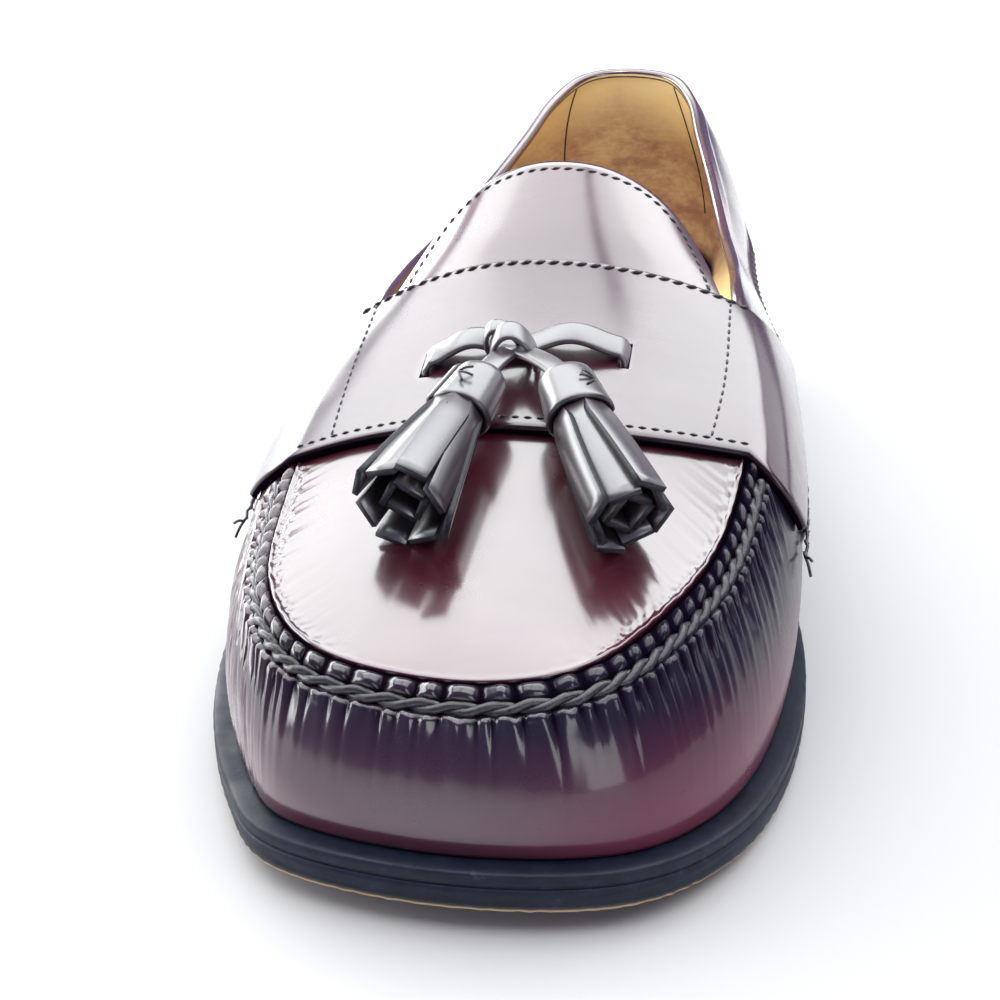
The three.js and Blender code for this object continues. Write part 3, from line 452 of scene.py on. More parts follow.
def add_noise(nodes, links, coords, scale, detail=3.0, roughness=0.55, stretch=None):
    noise = nodes.new("ShaderNodeTexNoise")
    noise.inputs["Scale"].default_value = scale
    noise.inputs["Detail"].default_value = detail
    noise.inputs["Roughness"].default_value = roughness
    source = coords.outputs["Object"]
    if stretch:
        mapping = nodes.new("ShaderNodeMapping")
        mapping.inputs["Scale"].default_value = stretch
        links.new(source, mapping.inputs["Vector"])
        source = mapping.outputs["Vector"]
    links.new(source, noise.inputs["Vector"])
    return noise.outputs["Fac"]


def add_ramp(nodes, links, source, stops):
    ramp = nodes.new("ShaderNodeValToRGB")
    ramp.color_ramp.elements[0].position = stops[0][0]
    ramp.color_ramp.elements[0].color = (*stops[0][1], 1)
    ramp.color_ramp.elements[1].position = stops[-1][0]
    ramp.color_ramp.elements[1].color = (*stops[-1][1], 1)
    for place, colour in stops[1:-1]:
        element = ramp.color_ramp.elements.new(place)
        element.color = (*colour, 1)
    links.new(source, ramp.inputs["Fac"])
    return ramp.outputs["Color"]


def grey(value):
    return (value, value, value)


def add_mix(nodes, links, factor, first, second):
    mix = nodes.new("ShaderNodeMix")
    mix.data_type = "RGBA"
    links.new(factor, mix.inputs["Factor"])
    for socket, value in ((mix.inputs[6], first), (mix.inputs[7], second)):
        if isinstance(value, tuple):
            socket.default_value = (*value, 1)
        else:
            links.new(value, socket)
    return mix.outputs[2]


def add_attribute(nodes, name):
    attribute = nodes.new("ShaderNodeAttribute")
    attribute.attribute_name = name
    return attribute.outputs["Fac"]


def add_bump(nodes, links, shader, sources):
    """sources: (height socket, strength, distance in mm), from the coarsest to the finest."""
    normal = None
    for height, strength, distance in sources:
        bump = nodes.new("ShaderNodeBump")
        bump.inputs["Strength"].default_value = strength
        bump.inputs["Distance"].default_value = distance * MM
        links.new(height, bump.inputs["Height"])
        if normal:
            links.new(normal, bump.inputs["Normal"])
        normal = bump.outputs["Normal"]
    links.new(normal, shader.inputs["Normal"])


def add_math(nodes, links, operation, first, second):
    node = nodes.new("ShaderNodeMath")
    node.operation = operation
    node.use_clamp = True
    for socket, value in zip(node.inputs, (first, second)):
        if isinstance(value, (int, float)):
            socket.default_value = value
        else:
            links.new(value, socket)
    return node.outputs[0]


def leather_material(name, dark, light, gloss, coat_roughness, coat_ior):
    """Polished leather: darker and duller by painted shade, lighter and redder by a painted floor
    reflection, black by painted shade in creases, gaps and under edges.
    """
    material, nodes, links, shader = new_material(name)
    coords = nodes.new("ShaderNodeTexCoord")
    cloud = add_noise(nodes, links, coords, 26, 4)
    red = add_ramp(nodes, links, cloud, [(0.3, dark), (0.7, light)])
    painted_shade = add_attribute(nodes, "painted_shade")
    crease_shade = add_attribute(nodes, "crease_shade")
    # Painted shade: darkens the leather towards aubergine and dulls its coat where shade and dark
    # reflections fall.
    shaded = add_mix(nodes, links, painted_shade, red, PAINTED_SHADE_AUBERGINE)
    # Painted reflection: the low front walls are lightened to mauve-red where they would mirror the
    # floor.
    shaded_and_reflected = add_mix(nodes, links, add_attribute(nodes, "painted_floor_reflection"), shaded, PAINTED_REFLECTION_MAUVE)
    # Painted shade: blackens the leather and takes its coat away in creases, gaps and under edges.
    crease_shaded = add_mix(nodes, links, crease_shade, shaded_and_reflected, PAINTED_CREASE_SHADE)
    speck = add_noise(nodes, links, coords, 900, 1, 0.5)
    dusty = add_ramp(nodes, links, speck, [(0.86, grey(0)), (0.88, grey(0.3))])
    links.new(add_mix(nodes, links, dusty, crease_shaded, DUST), shader.inputs["Base Color"])
    rub = add_noise(nodes, links, coords, 60, 6, 0.7)
    rubbed = add_ramp(nodes, links, rub, [(0.35, grey(gloss)), (0.75, grey(gloss + 0.14))])
    links.new(rubbed, shader.inputs["Roughness"])
    breath = add_noise(nodes, links, coords, 34, 5, 0.65)
    clouded = add_ramp(nodes, links, breath, [
        (0.3, grey(coat_roughness - 0.04)), (0.75, grey(coat_roughness + 0.08)),
    ])
    links.new(clouded, shader.inputs["Coat Roughness"])
    shader.inputs["IOR"].default_value = LEATHER_IOR
    shader.inputs["Coat IOR"].default_value = coat_ior
    shade_dulling = add_math(nodes, links, "MULTIPLY", painted_shade, PAINTED_SHADE_DULLS)
    dull = add_math(nodes, links, "ADD", crease_shade, shade_dulling)
    shine = add_math(nodes, links, "SUBTRACT", 1.0, dull)
    links.new(shine, shader.inputs["Coat Weight"])
    links.new(add_math(nodes, links, "MULTIPLY", shine, 0.5), shader.inputs["Specular IOR Level"])
    pores = add_noise(nodes, links, coords, 1700, 2, 0.5)
    swell = add_noise(nodes, links, coords, 55, 3, 0.55)
    scratch = add_noise(nodes, links, coords, 160, 5, 0.75, (1, 6, 3))
    add_bump(nodes, links, shader, [(swell, 0.30, 0.9), (scratch, 0.06, 0.15), (pores, 0.05, 0.08)])
    return material


def lining_material():
    material, nodes, links, shader = new_material("lining_leather")
    coords = nodes.new("ShaderNodeTexCoord")
    cloud = add_noise(nodes, links, coords, 22, 5)
    clean = add_ramp(nodes, links, cloud, [(0.3, (0.92, 0.71, 0.34)), (0.7, (0.96, 0.78, 0.41))])
    patch = add_noise(nodes, links, coords, 60, 6, 0.75, (1, 1, 2))
    blotch = add_ramp(nodes, links, patch, [(0.36, grey(0.55)), (0.62, grey(1.0))])
    worn = add_math(nodes, links, "MULTIPLY", add_attribute(nodes, "wear"), blotch)
    links.new(add_mix(nodes, links, worn, clean, WORN_LINING), shader.inputs["Base Color"])
    shader.inputs["Roughness"].default_value = 0.62
    pores = add_noise(nodes, links, coords, 1300, 3, 0.6)
    add_bump(nodes, links, shader, [(pores, 0.25, 0.2)])
    return material


def edge_material():
    """Blackened sole edge, scuffed, worn to the natural leather along its lowest line."""
    material, nodes, links, shader = new_material("sole_edge_black")
    coords = nodes.new("ShaderNodeTexCoord")
    scuff = add_noise(nodes, links, coords, 260, 6, 0.7)
    streak = add_noise(nodes, links, coords, 90, 4, 0.6, (1, 1, 9))
    base = add_ramp(nodes, links, scuff, [
        (0.40, (0.003, 0.006, 0.016)), (0.62, (0.007, 0.012, 0.030)), (0.80, (0.07, 0.07, 0.09)),
    ])
    worn = add_attribute(nodes, "wear")
    links.new(add_mix(nodes, links, worn, base, BARE_LEATHER), shader.inputs["Base Color"])
    streaked = add_ramp(nodes, links, streak, [(0.3, grey(0.42)), (0.7, grey(0.66))])
    links.new(streaked, shader.inputs["Roughness"])
    shader.inputs["Specular IOR Level"].default_value = 0.32
    add_bump(nodes, links, shader, [(streak, 0.35, 0.25), (scuff, 0.35, 0.15)])
    return material


def plain_material(name, grain, dark, light, roughness, bump):
    """One fine grain between two shades. grain: noise scale, detail, roughness;
    bump: strength and distance in mm."""
    material, nodes, links, shader = new_material(name)
    coords = nodes.new("ShaderNodeTexCoord")
    noise = add_noise(nodes, links, coords, *grain)
    shades = add_ramp(nodes, links, noise, [(0.3, dark), (0.7, light)])
    links.new(shades, shader.inputs["Base Color"])
    shader.inputs["Roughness"].default_value = roughness
    add_bump(nodes, links, shader, [(noise, *bump)])
    return material


def thread_material():
    material = plain_material(
        "waxed_thread", (1400, 4, 0.65), (0.008, 0.006, 0.012), (0.035, 0.028, 0.040), 0.38,
        (0.7, 0.25),
    )
    shader = material.node_tree.nodes["Principled BSDF"]
    shader.inputs["Coat Weight"].default_value = 0.5
    shader.inputs["Coat Roughness"].default_value = 0.2
    return material


def floor_material():
    material, _, _, shader = new_material("pale_floor")
    shader.inputs["Base Color"].default_value = FLOOR_COLOUR
    shader.inputs["Roughness"].default_value = 0.7
    return material


# Gloss, roughness of the polish and its index of refraction follow the two shades.
OXBLOOD = leather_material(
    "oxblood_leather", (0.040, 0.003, 0.010), (0.082, 0.007, 0.020), 0.26, 0.14, 2.1,
)
DARK_OXBLOOD = leather_material(
    "lace_leather", (0.016, 0.010, 0.016), (0.040, 0.022, 0.030), 0.44, 0.31, 2.25,
)
CUT_EDGE = plain_material(
    "cut_leather_edge", (1500, 3, 0.6), (0.004, 0.004, 0.009), (0.015, 0.014, 0.026), 0.5,
    (0.4, 0.15),
)
LINING = lining_material()
SOLE_EDGE = edge_material()
THREAD = thread_material()
RUBBER = plain_material(
    "top_lift_rubber", (700, 4, 0.6), grey(0.010), grey(0.035), 0.75, (0.3, 0.2),
)


# Mesh helpers
def corner_normals(points, faces):
    points = np.asarray(points, float)
    normals = np.zeros_like(points)
    quads = np.array([f if len(f) == 4 else (*f, f[2]) for f in faces])
    p = points[quads]
    cross = np.cross(p[:, 2] - p[:, 0], p[:, 3] - p[:, 1])
    for k in range(4):
        np.add.at(normals, quads[:, k], cross)
    return normals / np.maximum(np.linalg.norm(normals, axis=1, keepdims=True), 1e-12)


def add_piece(name, points, faces, materials, nodes=(), attributes=None, face_slots=None):
    """A closed mesh that rides on the shoe and stands for the named CAD nodes."""
    mesh = bpy.data.meshes.new(name)
    placed = (np.asarray(points, float) + SHIFT) * MM
    mesh.from_pydata(placed.tolist(), [], faces)
    for material in materials:
        mesh.materials.append(material)
    if face_slots is not None:
        mesh.polygons.foreach_set("material_index", face_slots)
    for key, values in (attributes or {}).items():
        layer = mesh.attributes.new(key, "FLOAT", "POINT")
        layer.data.foreach_set("value", np.asarray(values, np.float32))
    mesh.polygons.foreach_set("use_smooth", [True] * len(mesh.polygons))
    tidy = bmesh.new()
    tidy.from_mesh(mesh)
    bmesh.ops.remove_doubles(tidy, verts=tidy.verts, dist=1e-7)
    tidy.to_mesh(mesh)
    tidy.free()
    mesh.update()
    piece = bpy.data.objects.new(name, mesh)
    bpy.context.scene.collection.objects.link(piece)
    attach(piece, "root")
    if nodes:
        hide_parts(*nodes)
    return piece


class Hull:
    def __init__(self):
        self.points = []
        self.faces = []

    def add(self, point):
        self.points.append(point)
        return len(self.points) - 1

    def add_all(self, points):
        return [self.add(point) for point in points]

    def band(self, lower, upper, closed=True):
        count = len(lower) if closed else len(lower) - 1
        for i in range(count):
            j = (i + 1) % len(lower)
            self.faces.append((lower[i], lower[j], upper[j], upper[i]))

    def loft(self, rings):
        for low, high in zip(rings, rings[1:]):
            self.band(low, high)

    def cap(self, ring, up):
        half = len(ring) // 2
        for i in range(half):
            back = len(ring) - i
            corners = [ring[i], ring[i + 1], ring[back - 1], ring[back % len(ring)]]
            face = tuple(dict.fromkeys(corners))
            if len(face) > 2:
                self.faces.append(face if up else face[::-1])

    def fan(self, ring, up):
        centre = self.add(np.mean([self.points[i] for i in ring], axis=0))
        for i in range(len(ring)):
            j = (i + 1) % len(ring)
            self.faces.append((ring[i], ring[j], centre) if up else (ring[j], ring[i], centre))

    def close_caps(self, rings):
        self.loft(rings)
        self.cap(rings[0], False)
        self.cap(rings[-1], True)

    def close_fans(self, rings):
        self.loft(rings)
        self.fan(rings[0], False)
        self.fan(rings[-1], True)


def ring_columns(angles):
    out = [(LATERAL, a) for a in angles]
    return out + [(MEDIAL, a) for a in angles[-2:0:-1]]


# Upper
REAR_STEPS = 60
FRONT_STEPS = 240
THROAT_ANGLE = rim_angle(station_y(THROAT))
UPPER_ANGLES = (
    [THROAT_ANGLE * i / REAR_STEPS for i in range(REAR_STEPS + 1)]
    + [THROAT_ANGLE + (180 - THROAT_ANGLE) * i / FRONT_STEPS for i in range(1, FRONT_STEPS + 1)]
)
UPPER_COLUMNS = ring_columns(UPPER_ANGLES)
TOE_COLUMN = len(UPPER_ANGLES) - 1

# Apron seam, from the plug's edge down the toe's wall. The pinched blocks are longer at the toe.
BLOCK_PITCH = 4.9
SIDE_PITCH = 3.7
BLOCK_START = 0.3
BLOCK_DEPTH = 3.3
THREAD_DEPTH = 4.45
PLEAT_START = 5.35
SEAM_DEPTHS = [
    0, 0.12, 0.25, 0.4, 0.6, 0.8, 1.0, 1.25, 1.5, 1.8, 2.1, 2.4, 2.7, 3.0, 3.3, 3.6, 3.85, 4.15,
    4.45, 4.75, 5.05, 5.3, 5.55, 5.85, 6.3, 6.9, 7.7, 8.7, 9.9, 11.4, 13.2, 15.4, 18,
]
LOWER_ROWS = 18
PLUG_DEPTHS = [0.15, 0.3, 0.5, 0.75, 1.05, 1.4, 1.8, 2.3, 2.9, 3.7]
PLUG_ROWS = 5
REAR_RISES = np.concatenate([
    np.linspace(1, 0.92, 10), np.linspace(0.90, 0.62, 12), np.linspace(0.605, 0.475, 15),
    np.linspace(0.45, 0, len(SEAM_DEPTHS) + LOWER_ROWS - 37),
])


def wobble(x, seed=0.0):
    """A smooth uneven value from -1 to 1 along x."""
    return (math.sin(1.7 * x + seed) + math.sin(2.9 * x + 1.3 + 2 * seed)
            + math.sin(4.3 * x + 2.1 + 3 * seed)) / 3


def pillow(u, power):
    return max(0.0, 1 - abs(2 * u - 1) ** power)


def block_place(along):
    """Place along the seam counted in blocks."""
    side = 1 if along > 0 else -1
    far = max(0.0, abs(along) - 22)
    return side * (abs(along) / BLOCK_PITCH + far * (1 / SIDE_PITCH - 1 / BLOCK_PITCH))


def plug_relief(along, depth, corner):
    """The plug's rim, height and painted shade: a thin raised line towards the sides, with puckers, and
    painted shade along its edge.
    """
    uneven = wobble(along * 0.45, 2)
    line = math.exp(-((depth - 0.65 - 0.12 * uneven) / 0.30) ** 2)
    height = (0.02 + 0.60 * corner) * (1 + 0.25 * uneven) * line
    pucker = math.sin(along * 2.1 + 1.5 * uneven) * math.sin(depth * 2.6 + 2.5 * wobble(along * 0.7, 4))
    height += 0.16 * corner * pucker * smoothstep(depth, 0.8, 1.4) * (1 - smoothstep(depth, 2.4, 3.7))
    edge = 1 - smoothstep(depth, 0.0, 0.3)
    return height - 0.4 * edge, 0.8 * edge


def seam_relief(along, depth, corner):
    """Height and painted shade of the gathered seam, shade painted in the gaps between blocks and in the
    valleys of the pleats. depth is the distance below the plug's edge, corner 0 at the toe's centre and
    1 at its corners."""
    place = block_place(along) + 0.12 * wobble(along * 0.13)
    slant = 0.35 * corner * (1 if along > 0 else -1)
    v = clamp((depth - BLOCK_START) / BLOCK_DEPTH)
    u = (place + slant * v) % 1
    block = pillow(u, 2.1) ** 0.8 * pillow(v, 2.2) ** 0.6
    size = 1.75 + 0.35 * wobble(place * 2.2, 1)
    seam = 1 - smoothstep(depth, 5.1, 5.6)
    height = seam * (size * block - 0.70)
    crease_shade = seam * (1 - block) ** 1.6 * (1 - 0.4 * smoothstep(depth, 3.4, 4.0))
    if depth > PLEAT_START - 0.6:
        side = 1 if along > 0 else -1
        long_side = corner if side == LATERAL else 0.15 * corner
        start = PLEAT_START + 0.35 * wobble(place * 3.1, 4)
        drift = 0.05 * side * corner * (depth - start)
        fold = abs(math.sin(math.pi * (place * 1.45 + drift + 0.30 * wobble(along * 0.33, 3)))) ** 0.8
        small = abs(math.sin(math.pi * (place * 3.7 + 0.3 * wobble(along * 0.4, 6)))) ** 0.7
        reach = (2.6 + 9.0 * long_side) * (1 + 0.60 * wobble(place * 1.9, 5))
        fade = math.exp(-max(0.0, depth - start - 1.0) / reach)
        rise = smoothstep(depth, start - 0.4, start + 1.2)
        height += rise * fade * ((1.35 + 0.15 * long_side) * fold + 0.40 * small * fade - 0.35)
        crease_shade = max(crease_shade, rise * fade * 0.8 * (1 - fold) ** 1.5)
    return height, crease_shade


# Side seam: a raised line on both side walls that fades at its ends.
SIDE_SEAM_FRONT = 0.735
SIDE_SEAM_REAR = 0.17


def side_relief(y, rise):
    station = station_of(y)
    fade = smoothstep(station, SIDE_SEAM_REAR, SIDE_SEAM_REAR + 0.12)
    fade *= 1 - smoothstep(station, SIDE_SEAM_FRONT, SIDE_SEAM_FRONT + 0.02)
    off = (rise - SIDE_SEAM_RISE) / 0.022
    return fade * (SIDE_RIDGE * math.exp(-off ** 2) * (1 + 0.12 * wobble(y * 0.9))
                   - 0.25 * math.exp(-((off + 2.2) / 0.7) ** 2))


def wall_rows(column, front):
    """Depths, rises and points of one wall column, from the rim down: close together at the
    apron seam in front, and at the side seam behind."""
    samples = np.array([column(1 - k / 90) for k in range(91)])
    run = run_along(samples)
    rest = run[-1] - SEAM_DEPTHS[-1]
    depths = SEAM_DEPTHS + [SEAM_DEPTHS[-1] + rest * (k + 1) / LOWER_ROWS for k in range(LOWER_ROWS)]
    rises = 1 - np.interp(depths, run, np.arange(91) / 90)
    rises[-1] = 0.0
    rises = front * rises + (1 - front) * REAR_RISES
    depths = np.interp(1 - rises, np.arange(91) / 90, run)
    return depths, rises, [column(rise) for rise in rises]


def seam_shares(side, y):
    """How much of the apron seam shows at y, and how the wall's rows are spread."""
    start = STRAP_CORNERS[side]
    station = station_of(y)
    shown = smoothstep(station, start - 0.012, start + 0.002)
    return shown, smoothstep(station, start - 0.05, start - 0.012)


def rim_runs():
    """Place of each column along the apron seam, from the toe's centre, in mm."""
    rims = [rim_point(side, angle) for side, angle in UPPER_COLUMNS]
    runs = [0.0] * len(rims)
    for side in (LATERAL, MEDIAL):
        run = 0.0
        for j in range(1, FRONT_STEPS + REAR_STEPS):
            here = (TOE_COLUMN + side * j) % len(rims)
            last = (TOE_COLUMN + side * (j - 1)) % len(rims)
            run += np.linalg.norm(rims[here] - rims[last])
            runs[here] = side * run
    return runs


class Shell(Hull):
    """Points that also carry their relief, their painted crease shade and whether they are on the wall.
    """

    def __init__(self):
        super().__init__()
        self.relief = []
        self.crease_shade = []
        self.walls = []

    def put(self, point, height=0.0, dark=0.0, wall=0.0):
        self.relief.append(height)
        self.crease_shade.append(dark)
        self.walls.append(wall)
        return self.add(point)


# Height and depths of the turned-in hem below the rim
HEM_HEIGHT = 0.25
HEM_START = 3.6
HEM_END = 4.3


def add_walls(shell, runs):
    """The side walls, as rows from the rim down."""
    columns = []
    for i, (side, angle) in enumerate(UPPER_COLUMNS):
        front, spread = seam_shares(side, rim_point(side, angle)[1])
        depths, rises, points = wall_rows(wall_column(side, angle), spread)
        corner = smoothstep(abs(runs[i]), 20, 44)
        column = []
        for depth, rise, point in zip(depths, rises, points):
            height, dark = seam_relief(runs[i], depth, corner) if front > 0 else (0, 0)
            hem = HEM_HEIGHT * (1 - smoothstep(depth, HEM_START, HEM_END)) * (angle < THROAT_ANGLE)
            height = front * height + (1 - front) * hem + side_relief(point[1], rise)
            column.append(shell.put(point, height, front * dark, 1.0))
        columns.append(column)
    rows = [[column[k] for column in columns] for k in range(len(columns[0]))]
    for k in range(1, len(rows)):
        shell.band(rows[k], rows[k - 1])
    return rows


def plug_line(shell, start_index, ridge, run):
    """Points over the plug from the rim up to the ridge."""
    line = [start_index]
    start = shell.points[start_index]
    ridge_point = shell.points[ridge]
    length = np.linalg.norm(ridge_point - start)
    front, _ = seam_shares(MEDIAL if run > 0 else LATERAL, start[1])
    corner = smoothstep(abs(run), 14, 40)
    last = PLUG_DEPTHS[-1]
    rest = [last + (length - last) * (k + 1) / PLUG_ROWS for k in range(PLUG_ROWS - 1)]
    for depth in PLUG_DEPTHS + rest:
        t = depth / length
        x = start[0] + (ridge_point[0] - start[0]) * t
        y = start[1] + (ridge_point[1] - start[1]) * t
        height, dark = plug_relief(run, depth, corner)
        line.append(shell.put(np.array([x, y, top_height(x, y)]), front * height, front * dark))
    return line + [ridge]


def add_plug(shell, rim, runs):
    """The top from the rim to the centre ridge. Gives back its last line on each side."""
    fan = station_y(FAN_FRONT)
    throat = station_y(THROAT)
    lines = {LATERAL: [], MEDIAL: []}
    for j in range(FRONT_STEPS + 1):
        ridge_y = fan + (throat - fan) * (j / FRONT_STEPS) ** 1.1
        ridge_x = centre_x(ridge_y)
        ridge = shell.put(np.array([ridge_x, ridge_y, crest_height(station_of(ridge_y))]))
        for side in (LATERAL, MEDIAL):
            if j == 0 and side == MEDIAL:
                lines[MEDIAL].append(lines[LATERAL][0])
                continue
            index = (TOE_COLUMN + side * j) % len(rim)
            lines[side].append(plug_line(shell, rim[index], ridge, runs[index]))
    for j in range(FRONT_STEPS):
        near, far = lines[LATERAL][j], lines[LATERAL][j + 1]
        near_m, far_m = lines[MEDIAL][j], lines[MEDIAL][j + 1]
        for k in range(len(near) - 1):
            shell.faces.append((far[k], near[k], near[k + 1], far[k + 1]))
            shell.faces.append((near_m[k], far_m[k], far_m[k + 1], near_m[k + 1]))
    return lines[LATERAL][-1], lines[MEDIAL][-1]


def ramp_up(values, start, reach):
    return np.clip((values - start) / reach, 0, 1)


def upper_shades(points, walls):
    """Where the lining is worn, where painted shade darkens the leather's walls, and where a painted
    floor reflection makes their lower part redder, all from places in mm.
    """
    across, along, height = points.T
    low = np.clip((85 - height - 0.45 * np.abs(across + 2)) / 17, 0.12, 1)
    above_foot = np.clip((height - 13) / 9 + ramp_up(across, -25, 25), 0, 1)
    inner = ramp_up(across, 12, 25)
    # Painted shade on the walls: none far out on the outer side, less near the foot, more on the inner
    # side.
    shaded = 0.9 * above_foot * ramp_up(across, -42, 25) + 0.75 * inner
    return {
        "wear": ramp_up(along, 70, 50) * low,
        "painted_shade": walls * ramp_up(-along, 20, 40) * shaded,
        # Painted floor reflection on the lowest part of the front walls, more on the inner side.
        "painted_floor_reflection": walls * ramp_up(-along, 40, 50) * ramp_up(-height, -30, 14) * (0.35 + 0.5 * inner),
    }


RIM_TURNS = 6
RIM_LIFT = 1.4


def make_upper():
    shell = Shell()
    runs = rim_runs()
    rows = add_walls(shell, runs)
    rim = rows[0]
    foot = rows[-1]
    lateral, medial = add_plug(shell, rim, runs)

    outer_faces = list(shell.faces)
    base = np.array(shell.points)
    normals = corner_normals(base, outer_faces)
    outer = base + normals * np.array(shell.relief)[:, None]
    inside = base - normals * UPPER_WALL
    inside[foot, 2] = base[foot, 2]
    size = len(base)
    points = list(outer) + list(inside)
    faces = outer_faces + [tuple(i + size for i in f[::-1]) for f in outer_faces]
    slots = [0] * len(outer_faces) + [1] * len(outer_faces)

    # The rim is rolled over from the outside to the lining.
    edge = [rim[(TOE_COLUMN + FRONT_STEPS + i) % len(rim)] for i in range(2 * REAR_STEPS + 1)]
    edge += lateral[1:] + medial[1:-1][::-1]
    edge_outer = outer[edge]
    edge_inner = inside[edge]
    middle = (edge_outer + edge_inner) / 2
    along = np.roll(edge_outer, -1, axis=0) - np.roll(edge_outer, 1, axis=0)
    lift = np.cross(along, edge_inner - edge_outer)
    lift /= np.linalg.norm(lift, axis=1, keepdims=True)
    rings = [edge]
    for turn in range(1, RIM_TURNS):
        angle = math.pi * turn / RIM_TURNS
        rolled = middle + (edge_outer - middle) * math.cos(angle)
        rolled = rolled + lift * (RIM_ROUND * RIM_LIFT * math.sin(angle))
        rings.append(list(range(len(points), len(points) + len(edge))))
        points += list(rolled)
    rings.append([i + size for i in edge])
    closing = Hull()
    closing.loft(rings)
    closing.band([i + size for i in foot], foot)
    faces += closing.faces
    slots += [0] * len(closing.faces)

    blank = [0.0] * (len(points) - size)
    shades = upper_shades(np.array(points), np.array(shell.walls + blank))
    shades["crease_shade"] = shell.crease_shade + blank
    add_piece(
        "upper_look", points, faces, [OXBLOOD, LINING], ["upper"], shades, slots,
    )


# Threads and stitches
def tube(hull, path, radius, sides=6):
    path = np.asarray(path, float)
    tangents = np.gradient(path, axis=0)
    tangents /= np.maximum(np.linalg.norm(tangents, axis=1, keepdims=True), 1e-9)
    guide = np.array([0.0, 0.0, 1.0])
    rings = []
    for point, along in zip(path, tangents):
        side = np.cross(along, guide)
        if np.linalg.norm(side) < 0.1:
            side = np.cross(along, (1.0, 0.0, 0.0))
        side /= np.linalg.norm(side)
        up = np.cross(side, along)
        ring = [
            point + radius * (math.cos(2 * math.pi * k / sides) * side
                              + math.sin(2 * math.pi * k / sides) * up)
            for k in range(sides)
        ]
        rings.append(hull.add_all(ring[::-1]))
    hull.close_fans(rings)


STITCH_BOW = 1.5
STITCH_SINK = 0.9
# Kinds of stitch: pitch, its share that shows, radius, and slant across the line
STRAP_REAR_STITCH = (2.7, 0.76, 0.36, 0.35)
STRAP_FINE_STITCH = (2.2, 0.62, 0.24, 0.0)
TONGUE_STITCH = (2.5, 0.72, 0.26, 0.2)


def stitch(hull, start, end, up, radius):
    """One short stitch: a bowed capsule whose ends dive into the leather."""
    start, end, up = (np.asarray(v, float) for v in (start, end, up))
    path = []
    for k in range(5):
        share = k / 4
        bow = radius * (STITCH_BOW * math.sin(math.pi * share) - STITCH_SINK)
        path.append(start + (end - start) * share + up * bow)
    tube(hull, path, radius, 5)


def stitch_row(hull, points, ups, pitch, share, radius, slant):
    """Stitches along a line; slant moves each stitch's ends to either side of it."""
    joined = np.concatenate([np.asarray(points, float), np.asarray(ups, float)], axis=1)
    run = run_along(joined[:, :3])
    total = int(run[-1] / pitch)
    for k in range(total):
        ends = []
        for offset in (0.5 - share / 2, 0.5 + share / 2):
            at = (k + offset) * run[-1] / total
            ends.append([np.interp(at, run, joined[:, c]) for c in range(6)])
        a, b = (np.array(e[:3]) for e in ends)
        up = np.array(ends[0][3:]) + np.array(ends[1][3:])
        up /= np.linalg.norm(up)
        across = np.cross(up, b - a)
        across /= max(np.linalg.norm(across), 1e-9)
        stitch(hull, a - across * slant, b + across * slant, up, radius)


NORMAL_STEP = 0.01


def surface_frame(side, y, rise):
    """Point and outward normal of the upper."""
    point = upper_point(side, y, rise)
    low = upper_point(side, y, max(rise - NORMAL_STEP, 0.0))
    high = upper_point(side, y, min(rise + NORMAL_STEP, 2.0))
    along = upper_point(side, y - 0.5, rise) - upper_point(side, y + 0.5, rise)
    normal = np.cross(along, high - low) * -side
    return point, normal / np.linalg.norm(normal)


# Half the swing of each strand across and along the normal, and the strands' radius
STRAND_SWING = 0.56
STRAND_RISE = 0.42
STRAND_RADIUS = 0.74


def make_apron_thread():
    """Two strands twisted round each other in the groove below the blocks."""
    runs = rim_runs()
    places = list(range(FRONT_STEPS - 2, 0, -2))
    order = [(LATERAL, j) for j in places] + [(LATERAL, 0)] + [(MEDIAL, j) for j in places[::-1]]
    rows = []
    for side, j in order:
        index = (TOE_COLUMN + side * j) % len(UPPER_COLUMNS)
        y = rim_point(*UPPER_COLUMNS[index])[1]
        if station_of(y) < STRAP_CORNERS[side] + 0.001:
            continue
        column = wall_column(*UPPER_COLUMNS[index])
        samples = [column(1 - k / 60) for k in range(61)]
        run = run_along(samples)
        rise = 1 - np.interp(THREAD_DEPTH, run, np.arange(61) / 60)
        here = column(rise)
        down = column(rise - 0.03) - column(rise + 0.03)
        outward = sole_outward(*UPPER_COLUMNS[index])
        out = np.array([outward[0], outward[1], 0.0])
        normal = np.cross(np.cross(out, (0, 0, 1.0)), down)
        normal /= np.linalg.norm(normal)
        if np.dot(normal, out) < 0:
            normal = -normal
        rows.append([*(here - normal * 0.05), *normal, runs[index]])
    rows = np.array(rows)
    run = run_along(rows[:, :3])
    at = np.linspace(0, run[-1], int(run[-1] / 0.45))
    line = np.stack([np.interp(at, run, rows[:, c]) for c in range(7)], axis=1)
    tangent = np.gradient(line[:, :3], axis=0)
    tangent /= np.linalg.norm(tangent, axis=1, keepdims=True)
    side = np.cross(line[:, 3:6], tangent)
    turn = np.array([math.pi * block_place(along) for along in line[:, 6]])
    uneven = np.array([1 + 0.16 * wobble(along * 0.6, 3) for along in line[:, 6]])
    hull = Hull()
    for phase in (0, math.pi):
        swing = STRAND_SWING * np.sin(turn + phase) * uneven
        rise = STRAND_RISE * np.cos(turn + phase) * uneven
        strand = line[:, :3] + side * swing[:, None] + line[:, 3:6] * rise[:, None]
        tube(hull, strand, STRAND_RADIUS, 8)
    add_piece("apron_thread", hull.points, hull.faces, [THREAD])


